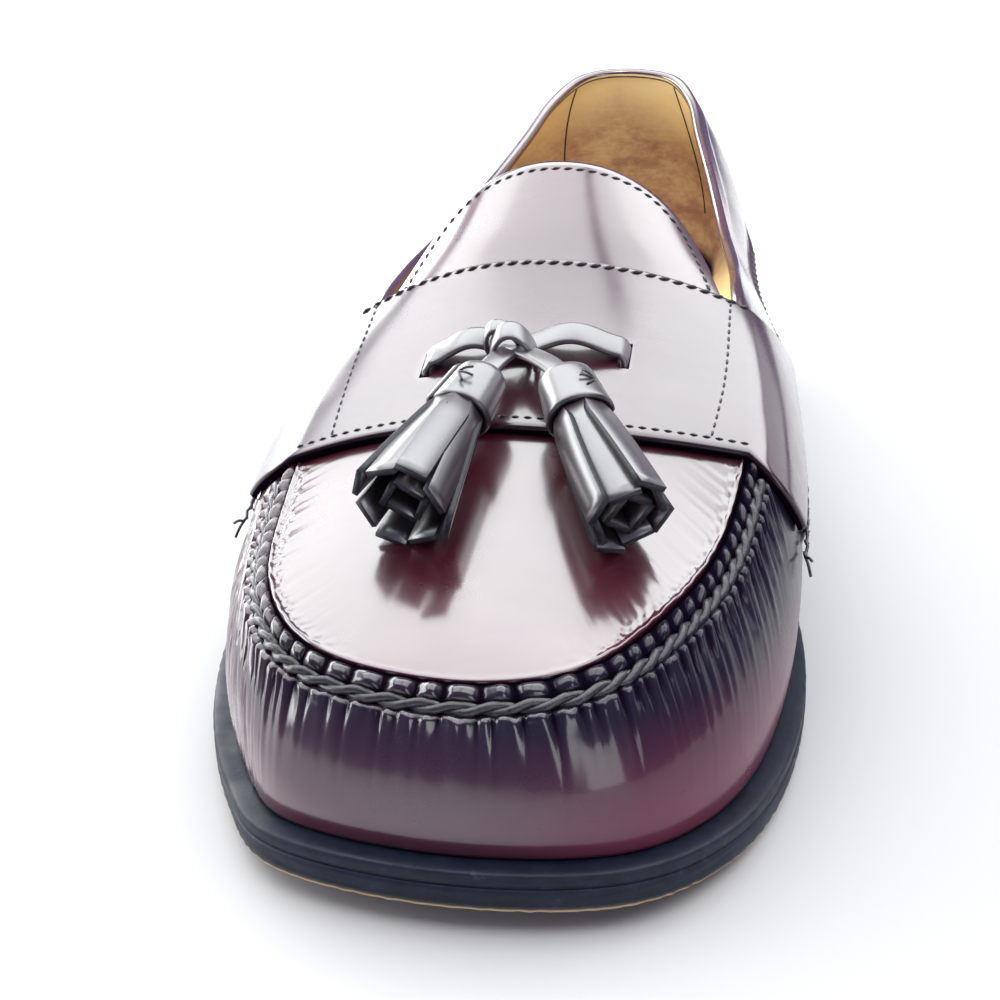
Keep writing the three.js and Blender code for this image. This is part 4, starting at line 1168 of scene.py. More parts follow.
# Sheets of leather
def sheet(grid, low, high, edge_round, flat_start=False):
    """Solid sheet over a grid of surface points, with rounded outer edges, but for the first
    row where flat_start says so. grid[i][j] is a point; i runs along the shoe, j across.
    Gives points, faces and how far in each grid point is: 0 at an edge, 1 past its rounding."""
    rows = len(grid)
    columns = len(grid[0])
    base = np.array([p for row in grid for p in row], float)
    faces = []
    for i in range(rows - 1):
        for j in range(columns - 1):
            a = i * columns + j
            faces.append((a, a + 1, a + columns + 1, a + columns))
    normals = corner_normals(base, faces)
    square = base.reshape(rows, columns, 3)
    reach = np.full((rows, columns), 1e9)
    for i in range(rows):
        for j in range(columns):
            borders = [square[-1, j], square[i, 0], square[i, -1]]
            if not flat_start:
                borders.append(square[0, j])
            reach[i, j] = min(np.linalg.norm(square[i, j] - border) for border in borders)
    soft = np.clip(reach / edge_round, 0, 1).reshape(-1)
    thick = (high - low) * (0.45 + 0.55 * np.sqrt(1 - (1 - soft) ** 2))
    top = base + normals * (low + thick)[:, None]
    under = base + normals * low
    size = len(base)
    points = np.concatenate([top, under])
    all_faces = faces + [tuple(i + size for i in f[::-1]) for f in faces]
    border = (
        list(range(columns))
        + [i * columns + columns - 1 for i in range(1, rows - 1)]
        + list(range(rows * columns - 1, (rows - 1) * columns - 1, -1))
        + [i * columns for i in range(rows - 2, 0, -1)]
    )
    for k, a in enumerate(border):
        b = border[(k + 1) % len(border)]
        all_faces.append((a + size, b + size, b, a))
    return points, all_faces, soft


def spaced(count, ends):
    """Values from 0 to 1, closer together at both ends."""
    shares = [k / (count - 1) for k in range(count)]
    return [t - ends * math.sin(2 * math.pi * t) / math.pi for t in shares]


def strap_edge(rise, middle, corner, wing):
    if rise > 1:
        return corner + (middle - corner) * (1 - (2 - rise) ** 2)
    return corner + (wing - corner) * ((1 - rise) / (1 - STRAP_LOW_RISE)) ** 1.2


def strap_station(side, rise, share):
    front = strap_edge(rise, STRAP_FRONT, STRAP_CORNERS[side], WING_FRONT)
    rear = strap_edge(rise, STRAP_REAR, STRAP_REAR, WING_REAR)
    return front + (rear - front) * share


def strap_height(x, y):
    return top_height(x, y) + (GAP + STRAP_THICKNESS) * 1.12


def strap_places(count):
    """(side, rise) from the outer wing over the instep to the inner wing."""
    half = [STRAP_LOW_RISE + (1 - STRAP_LOW_RISE) * k / 22 for k in range(22)]
    half += [1 + k / count for k in range(count)]
    half.insert(1, STRAP_LOW_RISE + 0.008)
    return [(LATERAL, r) for r in half] + [(MEDIAL, 2.0)] + [(MEDIAL, r) for r in half[::-1]]


SLOT_LENGTH = 7
SLOT_WIDTH = 2
SLOTS = [(-0.100 * BALL_WIDTH, station_y(0.7185)), (0.214 * BALL_WIDTH, station_y(0.7065))]


def cut_boxes(piece, centres, size, tilt):
    """Cuts boxes, tilted about the shoe's width, out of a piece for good."""
    cutter_mesh = bpy.data.meshes.new("slot_cutter")
    box = bmesh.new()
    for centre in centres:
        made = bmesh.ops.create_cube(box, size=1)
        bmesh.ops.scale(box, verts=made["verts"], vec=Vector(size) * MM)
        bmesh.ops.rotate(box, verts=made["verts"], matrix=Matrix.Rotation(tilt, 3, "X"))
        bmesh.ops.translate(box, verts=made["verts"], vec=metres(centre))
    box.to_mesh(cutter_mesh)
    box.free()
    cutter = bpy.data.objects.new("slot_cutter", cutter_mesh)
    bpy.context.scene.collection.objects.link(cutter)
    modifier = piece.modifiers.new("slots", "BOOLEAN")
    modifier.operation = "DIFFERENCE"
    modifier.solver = "EXACT"
    modifier.object = cutter
    bpy.context.view_layer.update()
    made = piece.evaluated_get(bpy.context.evaluated_depsgraph_get())
    cut = bpy.data.meshes.new_from_object(made)
    cut.set_sharp_from_angle(angle=math.radians(40))
    piece.modifiers.clear()
    piece.data = cut
    bpy.data.objects.remove(cutter)


def instep_slope(x, y):
    half = LACE_WIDTH / 2
    return math.atan2(strap_height(x, y + half) - strap_height(x, y - half), LACE_WIDTH)


def make_strap():
    places = strap_places(26)
    shares = spaced(30, 0.42)
    grid = [
        [upper_point(side, station_y(strap_station(side, rise, share)), rise) for side, rise in places]
        for share in shares
    ]
    points, faces, soft = sheet(grid, GAP, GAP + STRAP_THICKNESS, 0.9)
    # Painted shade along the strap's edges and all over its underside.
    crease_shade = list(0.95 * (1 - soft) ** 1.6) + [0.95] * len(soft)
    # Painted shade dims the whole strap, more on its outer side.
    outer = np.clip((-np.array(points)[:, 0] - 12) / 16, 0, 1)
    piece = add_piece(
        "saddle_strap_look", points, faces, [OXBLOOD], ["saddle_strap"],
        {"crease_shade": crease_shade, "wear": [0.0] * len(points), "painted_shade": 0.3 + 0.25 * outer},
    )
    slope = instep_slope(*SLOTS[0])
    centres = [(x, y, strap_height(x, y) - STRAP_THICKNESS / 2) for x, y in SLOTS]
    cut_boxes(piece, centres, (SLOT_WIDTH, SLOT_LENGTH, 4 * STRAP_THICKNESS), slope)


def strap_line(samples):
    """Points on the strap's face and their normals, from (side, rise, share) samples."""
    points = []
    ups = []
    for side, rise, share in samples:
        point, normal = surface_frame(side, station_y(strap_station(side, rise, share)), rise)
        points.append(point + normal * (GAP + STRAP_THICKNESS))
        ups.append(normal)
    return points, ups


# The stitched rectangle on the strap: rise of its two sides at the rear and at the front edge.
RECTANGLE_REAR = 1.09
RECTANGLE_FRONT = 1.165
# Shares of the strap's breadth, from its front edge, where the two rows across lie
FRONT_ROW = 0.055
REAR_ROW = 0.972


def make_strap_stitches():
    hull = Hull()
    count = 60

    def across(start, share):
        turn = [(LATERAL, start + (2 - start) * k / count) for k in range(count)]
        turn += [(MEDIAL, 2 - (2 - start) * k / count) for k in range(count + 1)]
        return strap_line([(side, rise, share) for side, rise in turn])

    stitch_row(hull, *across(1.0, REAR_ROW), *STRAP_REAR_STITCH)
    stitch_row(hull, *across(1.0, FRONT_ROW), *STRAP_FINE_STITCH)
    for side in (LATERAL, MEDIAL):
        seam = []
        for k in range(31):
            rise = RECTANGLE_FRONT + (RECTANGLE_REAR - RECTANGLE_FRONT) * k / 30
            seam.append((side, rise, FRONT_ROW + (REAR_ROW - FRONT_ROW) * k / 30))
        stitch_row(hull, *strap_line(seam), *STRAP_FINE_STITCH)
    add_piece("strap_stitches", hull.points, hull.faces, [THREAD])


SIDE_THREAD_RADIUS = 0.32
SIDE_THREAD_SWING = 0.016
SIDE_THREAD_LIFT = 0.12
TAIL_RADIUS = 0.28


def make_side_thread():
    """Hand-sewn thread that zigzags over the raised side seam, with loose tails in front."""
    hull = Hull()
    for side in (LATERAL, MEDIAL):
        path = []
        count = 170
        for k in range(count + 1):
            station = SIDE_SEAM_FRONT + 0.004 - (SIDE_SEAM_FRONT - SIDE_SEAM_REAR - 0.1) * k / count
            swing = SIDE_THREAD_SWING * math.sin(k * math.pi / 2 + 0.4)
            point, normal = surface_frame(side, station_y(station), SIDE_SEAM_RISE + swing)
            lift = side_relief(station_y(station), SIDE_SEAM_RISE + swing)
            path.append(point + normal * (lift + SIDE_THREAD_LIFT))
        tube(hull, path, SIDE_THREAD_RADIUS, 5)
        for tail in (-1, 1):
            start = path[0]
            _, normal = surface_frame(side, station_y(SIDE_SEAM_FRONT), SIDE_SEAM_RISE)
            ends = [
                start + normal * (0.22 * k) + np.array([0, -0.45 * k, 0.30 * tail * k - 0.05 * k * k])
                for k in range(6)
            ]
            tube(hull, ends, TAIL_RADIUS, 5)
    add_piece("side_thread", hull.points, hull.faces, [THREAD])


# Seams of the lining's heel pocket: side, and the angles at the top and at the foot of each
POCKET_SEAMS = [(LATERAL, 19, 16), (MEDIAL, 18, 25)]
POCKET_SEAM_RADIUS = 0.30
POCKET_TOP = 0.975
POCKET_DEPTH = 0.72
# The line where the turned rim ends on the lining
RIM_LINE_RISE = 0.985
RIM_LINE_RADIUS = 0.24


def make_lining_seams():
    hull = Hull()
    for side, top_angle, low_angle in POCKET_SEAMS:
        path = []
        for k in range(25):
            rise = POCKET_TOP - POCKET_DEPTH * k / 24
            angle = top_angle + (low_angle - top_angle) * k / 24
            point = wall_column(side, angle)(rise)
            _, normal = surface_frame(side, rim_point(side, angle)[1], rise)
            path.append(point - normal * (UPPER_WALL - 0.02))
        tube(hull, path, POCKET_SEAM_RADIUS, 6)
    line = ring_columns([THROAT_ANGLE * k / 90 for k in range(91)])
    half = len(line) // 2
    line = line[half + 1:] + line[:half]
    path = []
    for side, angle in line:
        if angle > THROAT_ANGLE - 1:
            continue
        y = rim_point(side, angle)[1]
        _, normal = surface_frame(side, min(y, RIM_REAR_Y - 0.6), RIM_LINE_RISE)
        path.append(wall_column(side, angle)(RIM_LINE_RISE) - normal * (UPPER_WALL + 0.02))
    tube(hull, path, RIM_LINE_RADIUS, 5)
    add_piece("lining_seams", hull.points, hull.faces, [CUT_EDGE])


# Tongue
TONGUE_INSET = UPPER_WALL + 4 * GAP
TONGUE_ARCH = 6
# Share of the tongue's thickness that is outer leather; the rest is lining
TONGUE_LEATHER = 0.55
TONGUE_STITCH_INSET = 2.4


def tongue_grid(count, places, shrink=0.0):
    base = station_y(THROAT) + RIM_ROUND + 3 * GAP
    top = station_y(TONGUE_TOP) - shrink
    corner = base + 0.01 * LENGTH
    grid = []
    for i in range(count):
        share = i / (count - 1)
        row = []
        for place in places:
            reach = corner + (top - corner) * (1 - abs(place) ** TONGUE_ARCH)
            y = base + (reach - base) * share
            side = LATERAL if place < 0 else MEDIAL
            middle = centre_x(y)
            half = abs(rim_point(side, rim_angle(y))[0] - middle) - TONGUE_INSET - shrink
            x = middle + half * place
            row.append(np.array([x, y, top_height(x, y)]))
        grid.append(row)
    return grid


def make_tongue():
    places = [math.sin(math.pi / 2 * (-1 + 2 * k / 64)) for k in range(65)]
    grid = tongue_grid(34, places)
    points, faces, soft = sheet(grid, -TONGUE_LEATHER * TONGUE_THICKNESS, 0, 0.8, True)
    # Painted shade along the tongue's edges and on its underside.
    crease_shade = list(0.6 * (1 - soft) ** 2) + [0.5] * len(soft)
    add_piece(
        "tongue_look", points, faces, [OXBLOOD], ["tongue"],
        {"crease_shade": crease_shade, "wear": [0.0] * len(points)},
    )
    grid = tongue_grid(24, places, 0.25)
    top = -(TONGUE_LEATHER + 0.02) * TONGUE_THICKNESS
    points, faces, _ = sheet(grid, -TONGUE_THICKNESS, top, 0.4, True)
    add_piece(
        "tongue_lining", points, faces, [LINING], (),
        {"wear": [0.1] * len(points), "crease_shade": [0.0] * len(points)},
    )
    hull = Hull()
    edge = tongue_grid(40, places, TONGUE_STITCH_INSET)[-1]
    normals = []
    for x, y, _ in edge:
        dx = top_height(x + 0.5, y) - top_height(x - 0.5, y)
        dy = top_height(x, y + 0.5) - top_height(x, y - 0.5)
        normals.append(unit(np.array([-dx, -dy, 1.0])))
    stitch_row(hull, edge, normals, *TONGUE_STITCH)
    add_piece("tongue_stitches", hull.points, hull.faces, [THREAD])


# Sole
def sole_ring(columns, inset, height):
    ring = []
    for side, angle in columns:
        flat = sole_point(side, angle) - sole_outward(side, angle) * inset(angle)
        ring.append(np.array([flat[0], flat[1], height(flat[1])]))
    return ring


def uneven_edge(angle):
    """An uneven value round the edge of the sole."""
    return wobble(angle * 1.9) + 0.6 * wobble(angle * 7.7, 2) + 0.3 * wobble(angle * 19, 3)


# The edges of both layers from the bottom up, a worn lower corner and a rubbed upper one:
# inset, how uneven it is, height above the layer's bottom, and wear in front
OUTSOLE_TOP = OUTSOLE_THICKNESS + 0.75 * GAP
OUTSOLE_EDGE = table("inset rough height wear", [
    (3.0, 0, 0, 0.2),
    (1.4 * OUTSOLE_EDGE_ROUND, 0.30, 0, 0.8),
    (0.8 * OUTSOLE_EDGE_ROUND, 0.25, 0.06 * OUTSOLE_THICKNESS, 1),
    (0.4 * OUTSOLE_EDGE_ROUND, 0.20, 0.14 * OUTSOLE_THICKNESS, 0.9),
    (0.12, 0.12, 0.24 * OUTSOLE_THICKNESS, 0.1),
    (0.05, 0.06, 0.36 * OUTSOLE_THICKNESS, 0),
    (0, 0.05, 0.55 * OUTSOLE_THICKNESS, 0),
    (0, 0.04, 0.80 * OUTSOLE_THICKNESS, 0),
    (0.03, 0, OUTSOLE_TOP, 0),
    (1.5, 0, OUTSOLE_TOP, 0),
])
WELT_EDGE = table("inset rough height wear", [
    (1.5, 0, 0, 0),
    (0.03, 0, 0, 0),
    (0, 0.04, 0.35 * WELT_THICKNESS, 0),
    (0, 0.08, 0.70 * WELT_THICKNESS, 0),
    (0.10, 0.10, 0.84 * WELT_THICKNESS, 0),
    (0.30, 0.08, 0.92 * WELT_THICKNESS, 0.02),
    (0.70, 0, 0.98 * WELT_THICKNESS, 0),
    (1.5, 0, WELT_THICKNESS, 0),
    (3.4, 0, 1.02 * WELT_THICKNESS, 0),
    (4.4, 0, WELT_THICKNESS, 0),
])


def make_layer(node, edge, bottom, step):
    """A layer of the sole; step says how far its whole edge stands back."""
    columns = ring_columns([180 * k / 240 for k in range(241)])
    hull = Hull()
    wear = []
    rows = []
    for row in edge:
        ring = sole_ring(
            columns,
            lambda angle: step(angle) + row["inset"] + row["rough"] * uneven_edge(angle),
            lambda y: bottom(y) + row["height"],
        )
        rows.append(hull.add_all(ring))
        wear += [row["wear"] * smoothstep(angle, 128, 150) for _, angle in columns]
    hull.close_caps(rows)
    add_piece(
        f"{node}_look", hull.points, hull.faces, [SOLE_EDGE], [node],
        {"wear": wear, "crease_shade": [0.0] * len(wear)},
    )


def make_soles():
    make_layer("outsole", OUTSOLE_EDGE, sole_bottom, lambda angle: 0)
    make_layer("welt", WELT_EDGE, welt_bottom, lambda angle: min(WELT_STEP, foot_margin(angle) / 3) / 2)


# Lace, knot and tassels
LACE_WIDTH = 5.5
LACE_THICKNESS = 1.4
LACE_ARCH = 2.4
KNOT_WIDTH = 10
KNOT_HEIGHT = 6.5
LACE_END_WIDTH = 4.4
CAP_DIAMETER = 11.5
CAP_LENGTH = 10.9
CAP_WALL = 1.1
CAP_RECESS = 1.2
STRIP_COUNT = 8
STRIP_WIDTH = 4.6
STRIP_THICKNESS = 1.3
STRIP_LENGTH = 25.5
STRIP_SPREAD = 7
STRIP_STAGGER = 1.3
TASSEL_PLACES = table("name part across station lift", [
    ("outer", "top", 0.016, 0.763, 0.79),
    ("outer", "rim", -0.006, 0.796, 0.765),
    ("outer", "end", -0.043, 0.868, 0.75),
    ("inner", "top", 0.137, 0.763, 0.79),
    ("inner", "rim", 0.182, 0.799, 0.765),
    ("inner", "end", 0.277, 0.864, 0.735),
])
KNOT_X = (SLOTS[0][0] + SLOTS[1][0]) / 2 - 0.15 * KNOT_WIDTH


def lace_y(x):
    share = (x - SLOTS[0][0]) / (SLOTS[1][0] - SLOTS[0][0])
    return SLOTS[0][1] + (SLOTS[1][1] - SLOTS[0][1]) * share


KNOT_Y = lace_y(KNOT_X) - LACE_WIDTH / 2 - 0.22 * KNOT_WIDTH
KNOT = np.array([
    KNOT_X, KNOT_Y,
    strap_height(KNOT_X, KNOT_Y) + LACE_THICKNESS + KNOT_HEIGHT / 2 + 3 * GAP,
])
UP = np.array([0.0, 0.0, 1.0])

# Cross-sections of a band, as shares of its width and thickness
SOFT_BAND = [
    (-0.5, -0.2), (-0.5, 0.2), (-0.44, 0.42), (-0.34, 0.5), (0.34, 0.5), (0.44, 0.42),
    (0.5, 0.2), (0.5, -0.2), (0.44, -0.42), (0.34, -0.5), (-0.34, -0.5), (-0.44, -0.42),
]
STRIP_SECTION = [
    (-0.5, -0.4), (-0.5, 0.4), (-0.485, 0.5), (0.485, 0.5),
    (0.5, 0.4), (0.5, -0.4), (0.485, -0.5), (-0.485, -0.5),
]
# Corner pairs of that section that bound the strip's two broad faces.
BROAD_SIDES = ({2, 3}, {6, 7})


def band_along(hull, path, widths, thickness, wides, section=SOFT_BAND):
    rings = []
    if np.isscalar(widths):
        widths = [widths] * len(path)
    for i, point in enumerate(path):
        ahead = path[min(i + 1, len(path) - 1)]
        behind = path[max(i - 1, 0)]
        along = unit(ahead - behind)
        across = wides[i] - along * np.dot(wides[i], along)
        across = unit(across)
        normal = np.cross(across, along)
        rings.append(hull.add_all([
            point + across * (u * widths[i]) + normal * (v * thickness) for u, v in section
        ]))
    hull.close_fans(rings)


def lace_height(x):
    y = lace_y(x)
    half = LACE_WIDTH / 2
    bed = (strap_height(x, y + half) + strap_height(x, y - half)) / 2
    slot = SLOTS[0] if x < KNOT_X else SLOTS[1]
    arch = LACE_ARCH * math.sin(math.pi * clamp((x - KNOT_X) / (slot[0] - KNOT_X))) ** 2
    return bed + 2 * GAP + LACE_THICKNESS / 2 + arch


# How the lace bends into a slot: along which run, how deep, and on down in steps
SLOT_BEND = 1.1
SLOT_DROP = 1.2
SLOT_LEAN = 0.12
SLOT_STEPS = (0.6, 1.3, 1.9)


def make_lace_bar():
    """The lace rises out of one slot, arches on both sides of the knot, and goes down the other."""
    slope = instep_slope(KNOT_X, lace_y(KNOT_X))
    wide = np.array([0, -math.cos(slope), -math.sin(slope)])
    (left, _), (right, _) = SLOTS
    path = []
    for x in np.linspace(left, right, 61):
        near = clamp(1 - min(abs(x - left), abs(x - right)) / SLOT_BEND)
        path.append(np.array([x, lace_y(x), lace_height(x) - SLOT_DROP * near ** 2]))
    for drop in SLOT_STEPS:
        path.insert(0, path[0] + np.array([-SLOT_LEAN, 0, -drop]))
        path.append(path[-1] + np.array([SLOT_LEAN, 0, -drop]))
    hull = Hull()
    band_along(hull, path, LACE_WIDTH, LACE_THICKNESS, [wide] * len(path))
    add_piece(
        "lace_bar_look", hull.points, hull.faces, [DARK_OXBLOOD], ["lace_bar"],
        {"crease_shade": [0.0] * len(hull.points)},
    )


# The knot: a wide loop of lace folded over like a hood, its mouth to the front, with a second
# narrower fold behind its outer side. Half width and height, band width, thickness, how far
# it stands back and to the side, and how it leans.
KNOT_LOOPS = table("wide high band thick back aside turn", [
    (3.9, 5.2, 4.8, 1.15, 0.2, 0.3, 0.12),
    (3.5, 4.2, 3.4, 1.0, 2.6, -1.5, 0.30),
])
KNOT_SINK = 2.4
LOOP_START = -14
LOOP_TURN = 208
LOOP_LEAN = 5.0
LOOP_CURL = 1.2


def make_knot():
    hull = Hull()
    slope = instep_slope(KNOT_X, KNOT_Y)
    ahead = np.array([0, -math.cos(slope), -math.sin(slope)])
    rise = np.array([0, -math.sin(slope), math.cos(slope)])
    across = np.array([1.0, 0, 0])
    for loop in KNOT_LOOPS:
        centre = KNOT - rise * KNOT_SINK - ahead * loop["back"] + across * loop["aside"]
        path = []
        wides = []
        for k in range(25):
            turn = math.radians(LOOP_START + LOOP_TURN * k / 24)
            lean = loop["turn"] * math.sin(turn)
            path.append(
                centre + across * (loop["wide"] * math.cos(turn) - LOOP_LEAN * lean)
                + rise * (loop["high"] * math.sin(turn)) + ahead * (LOOP_CURL * math.cos(turn) ** 2)
            )
            wides.append(-(ahead + across * 0.15))
        band_along(hull, path, loop["band"], loop["thick"], wides)
    add_piece(
        "lace_knot_look", hull.points, hull.faces, [DARK_OXBLOOD], ["lace_knot"],
        {"crease_shade": [0.0] * len(hull.points)},
    )


def tassel_frame(name):
    at = {}
    for row in TASSEL_PLACES:
        if row["name"] == name:
            x = row["across"] * BALL_WIDTH
            y = station_y(row["station"])
            at[row["part"]] = np.array([x, y, top_height(x, y) + row["lift"] * CAP_DIAMETER])
    return at["top"], unit(at["rim"] - at["top"]), at["end"]


def quadratic(a, b, c, share):
    return a * (1 - share) ** 2 + b * 2 * share * (1 - share) + c * share ** 2


def quadratic_tangent(a, b, c, share):
    return unit((b - a) * (1 - share) + (c - b) * share)


def make_lace_end(name, tassel):
    """A lace end from inside the knot, through the cap, to its hidden stop among the strips."""
    top, axis, _ = tassel_frame(name)
    control = top - axis * 0.35 * np.linalg.norm(KNOT - top)
    side = unit(np.cross(axis, UP))
    start = KNOT - np.array([0, 0, 1.0])
    visible = [quadratic(start, control, top, k / 9) for k in range(10)]
    hidden = [top + axis * depth for depth in range(2, 24, 2)]
    path = visible + hidden
    hull = Hull()
    band_along(hull, path, LACE_END_WIDTH, LACE_THICKNESS, [side] * len(path))
    piece = add_piece(
        f"lace_end_{name}_look", hull.points, hull.faces, [DARK_OXBLOOD],
        [f"lace_end_{name}"], {"crease_shade": [0.0] * len(hull.points)},
    )


CAP_LAP = 1.07
CAP_LEVELS = (0, 0.03, 0.08, 0.16, 0.3, 0.5, 0.7, 0.85, 0.93, 0.98, 1)
CAP_TOP_WIDTH = 0.86
CAP_FLARE = 0.20
CAP_SHOULDER = 0.10
CAP_SQUASH = 0.10
LAP_START = 0.75
LAP_RISE = 1.05


def cap_grid(top, side, over, axis, start_turn):
    """A rolled strip round the tassel's head: its outer end laps over its start."""
    grid = []
    for level in CAP_LEVELS:
        row = []
        widen = CAP_TOP_WIDTH + CAP_FLARE * level - CAP_SHOULDER * (1 - smoothstep(level, 0, 0.12))
        for k in range(61):
            turn = start_turn + 2 * math.pi * CAP_LAP * k / 60
            reach = CAP_DIAMETER / 2 * widen - LAP_START + LAP_RISE * k / 60
            squash = 1 - CAP_SQUASH * math.sin(turn) ** 2
            out = side * math.cos(turn) + over * (squash * math.sin(turn))
            row.append(top + axis * (level * CAP_LENGTH) + out * reach)
        grid.append(row)
    return grid[::-1]


# Three stitches that spread from one point on each cap: shares of their reach along and round.
CAP_MARK = [(-1.0, 1.15), (0.15, 1.6), (1.1, 1.0)]
MARK_REACH = 1.9
MARK_RADIUS = 0.23
MARK_LEVEL = 0.56

# Turn of the cap's wrap, turn and hand of its mark, and how far the strips spread
TASSEL_LOOKS = table("name start_turn mark_turn mark_hand flare seed", [
    ("outer", 0.15, 1.6, 1, 1.3, 0),
    ("inner", 2.6, 2.0, -1, -0.2, 7),
])
INNER_STRIPS = 4
STRIP_STEPS = 14
# A strip is narrow where it leaves the cap.
STRIP_ROOT_WIDTH = 0.55
STRIP_WIDENS = 0.63


def strip_path(look, index, root, bend, tip):
    """One strip: its middle line, the directions of its width, and its widths. The strips after
    the outer ring form a small ring inside it."""
    ring_radius = CAP_DIAMETER / 2 - CAP_WALL - STRIP_THICKNESS / 2 - GAP
    inner = index >= STRIP_COUNT
    turn = 2 * math.pi * (index + 0.5) / STRIP_COUNT
    if inner:
        turn = 2 * math.pi * (index - STRIP_COUNT + 0.3) / INNER_STRIPS
    seed = index + look["seed"]
    sway = 0.7 * wobble(seed * 2.7)
    short = 1 - 0.025 * (1 + wobble(seed * 4.1)) - (0.03 if inner else 0)
    twist = 0.16 * wobble(seed * 1.9, 2)
    path = []
    wides = []
    widths = []
    for k in range(STRIP_STEPS + 1):
        share = k / STRIP_STEPS * short
        along = quadratic_tangent(root, bend, tip, share)
        right = unit(np.cross(along, UP))
        up = np.cross(right, along)
        out = right * math.cos(turn) + up * math.sin(turn)
        wide = -right * math.sin(turn) + up * math.cos(turn)
        spread = STRIP_SPREAD + look["flare"] - ring_radius
        reach = ring_radius + spread * share ** 1.3 - STRIP_STAGGER * (index % 2) * share
        if inner:
            reach = 1.5 + 1.5 * share
        flex = 0.6 * math.sin(math.pi * share) * (0.5 + 0.5 * wobble(seed * 3.3, 1))
        path.append(quadratic(root, bend, tip, share) + out * (reach + flex) + wide * sway * share)
        wides.append(wide + out * twist * share)
        widths.append(STRIP_WIDTH * (STRIP_ROOT_WIDTH + STRIP_WIDENS * smoothstep(share, 0, 0.3)))
    return path, wides, widths


def make_tassel(look):
    name = look["name"]
    top, axis, end = tassel_frame(name)
    side = unit(np.cross(axis, UP))
    over = np.cross(side, axis)
    mouth = CAP_LENGTH - CAP_RECESS
    points, faces, soft = sheet(cap_grid(top, side, over, axis, look["start_turn"]), -CAP_WALL, 0, 0.5)
    points = list(points)
    # Painted shade along the cap's edges and on its inner face.
    crease_shade = list(0.8 * (1 - soft) ** 2) + [0.9] * len(soft)
    slots = [0] * len(faces)

    def add_band(path, wides, widths, thickness, section):
        hull = Hull()
        band_along(hull, path, widths, thickness, wides, section)
        start = len(points)
        count = len(section)
        points.extend(hull.points)
        crease_shade.extend([0.0] * len(hull.points))
        for face in hull.faces:
            faces.append(tuple(i + start for i in face))
            broad = len(face) == 4 and {i % count for i in face} in BROAD_SIDES
            slots.append(0 if broad else 1)

    core = CAP_DIAMETER / 2 * 1.1
    add_band([top + axis * 0.9, top + axis * mouth * 0.9], [side] * 2, core, core, SOFT_BAND)
    root = top + axis * (mouth - CAP_WALL)
    bend = top + axis * (CAP_LENGTH + STRIP_LENGTH * 0.3)
    tip = bend + unit(end - bend) * STRIP_LENGTH * 0.7
    for index in range(STRIP_COUNT + INNER_STRIPS):
        path, wides, widths = strip_path(look, index, root, bend, tip)
        add_band(path, wides, widths, STRIP_THICKNESS * 0.82, STRIP_SECTION)
    piece = add_piece(
        f"tassel_{name}_look", points, faces, [DARK_OXBLOOD, CUT_EDGE],
        [f"tassel_{name}"], {"crease_shade": crease_shade}, slots,
    )
    make_cap_mark(look, top, axis, side, over)
    return piece


def make_cap_mark(look, top, axis, side, over):
    stitches = Hull()
    turn = look["mark_turn"]
    hand = look["mark_hand"]
    out = side * math.cos(turn) + over * math.sin(turn)
    round_it = -side * math.sin(turn) + over * math.cos(turn)
    middle = top + axis * CAP_LENGTH * MARK_LEVEL + out * (CAP_DIAMETER / 2 - 0.15)
    point = middle - round_it * hand * MARK_REACH * 0.7
    for along, sideways in CAP_MARK:
        tip = point + (axis * along * hand + round_it * hand * sideways) * MARK_REACH
        stitch(stitches, point, tip, out, MARK_RADIUS)
    add_piece(
        f"tassel_{look['name']}_stitches", stitches.points, stitches.faces, [THREAD],
    )


# Heel block and insole
HEEL_BREAST = 0.27
HEEL_TAPER = 2.2
HEEL_SET_IN = 0.6
TOP_LIFT_THICKNESS = 6
LIFT_COUNT = 3
# Inset and height of the insole's edge from the bottom up
INSOLE_EDGE = [(0.3, 0), (0, 0.4), (0, 2.4), (0.3, 2.85), (1, INSOLE_THICKNESS), (2.5, INSOLE_THICKNESS)]
BREAST_ANGLE = math.degrees(math.acos((0.5 - HEEL_BREAST) * 2))


def heel_inset(height):
    return HEEL_SET_IN + HEEL_TAPER * (1 - height / HEEL_HEIGHT)


def make_heel_part(node, levels, material):
    """levels: (height or a function of y, extra inset)."""
    angles = [BREAST_ANGLE * k / 70 for k in range(71)]
    columns = [(LATERAL, a) for a in angles] + [(MEDIAL, a) for a in angles[:0:-1]]
    breast = station_y(HEEL_BREAST)
    hull = Hull()
    rows = []
    for level, extra in levels:
        height = level if callable(level) else (lambda y, flat=level: flat)
        inset = heel_inset(height(LENGTH / 2)) + extra
        ring = sole_ring(columns, lambda angle: inset, lambda y: 0.0)
        placed = []
        for point in ring:
            y = max(point[1], breast + inset)
            placed.append(np.array([point[0], y, height(y)]))
        rows.append(hull.add_all(placed))
    hull.close_caps(rows)
    blank = [0.0] * len(hull.points)
    add_piece(
        f"{node}_look", hull.points, hull.faces, [material], [node],
        {"wear": blank, "crease_shade": blank},
    )


def make_heel():
    base = TOP_LIFT_THICKNESS + GAP
    lift = (HEEL_HEIGHT - GAP - base) / LIFT_COUNT
    levels = [(base, 0.25)]
    for k in range(LIFT_COUNT):
        low = base + k * lift
        levels += [(low + 0.25, 0.02), (low + lift * 0.5, 0.12), (low + lift - 0.3, 0.02)]
        if k < LIFT_COUNT - 1:
            levels += [(low + lift, 0.28)]
    levels.append((lambda y: sole_bottom(y) - GAP, 0.1))
    make_heel_part("heel_stack", levels, SOLE_EDGE)
    make_heel_part("heel_top_lift", [
        (0.0, 0.5), (0.2, 0.15), (0.6, 0.0), (TOP_LIFT_THICKNESS / 2, 0.08),
        (TOP_LIFT_THICKNESS - 0.3, 0.0), (TOP_LIFT_THICKNESS, 0.2),
    ], RUBBER)


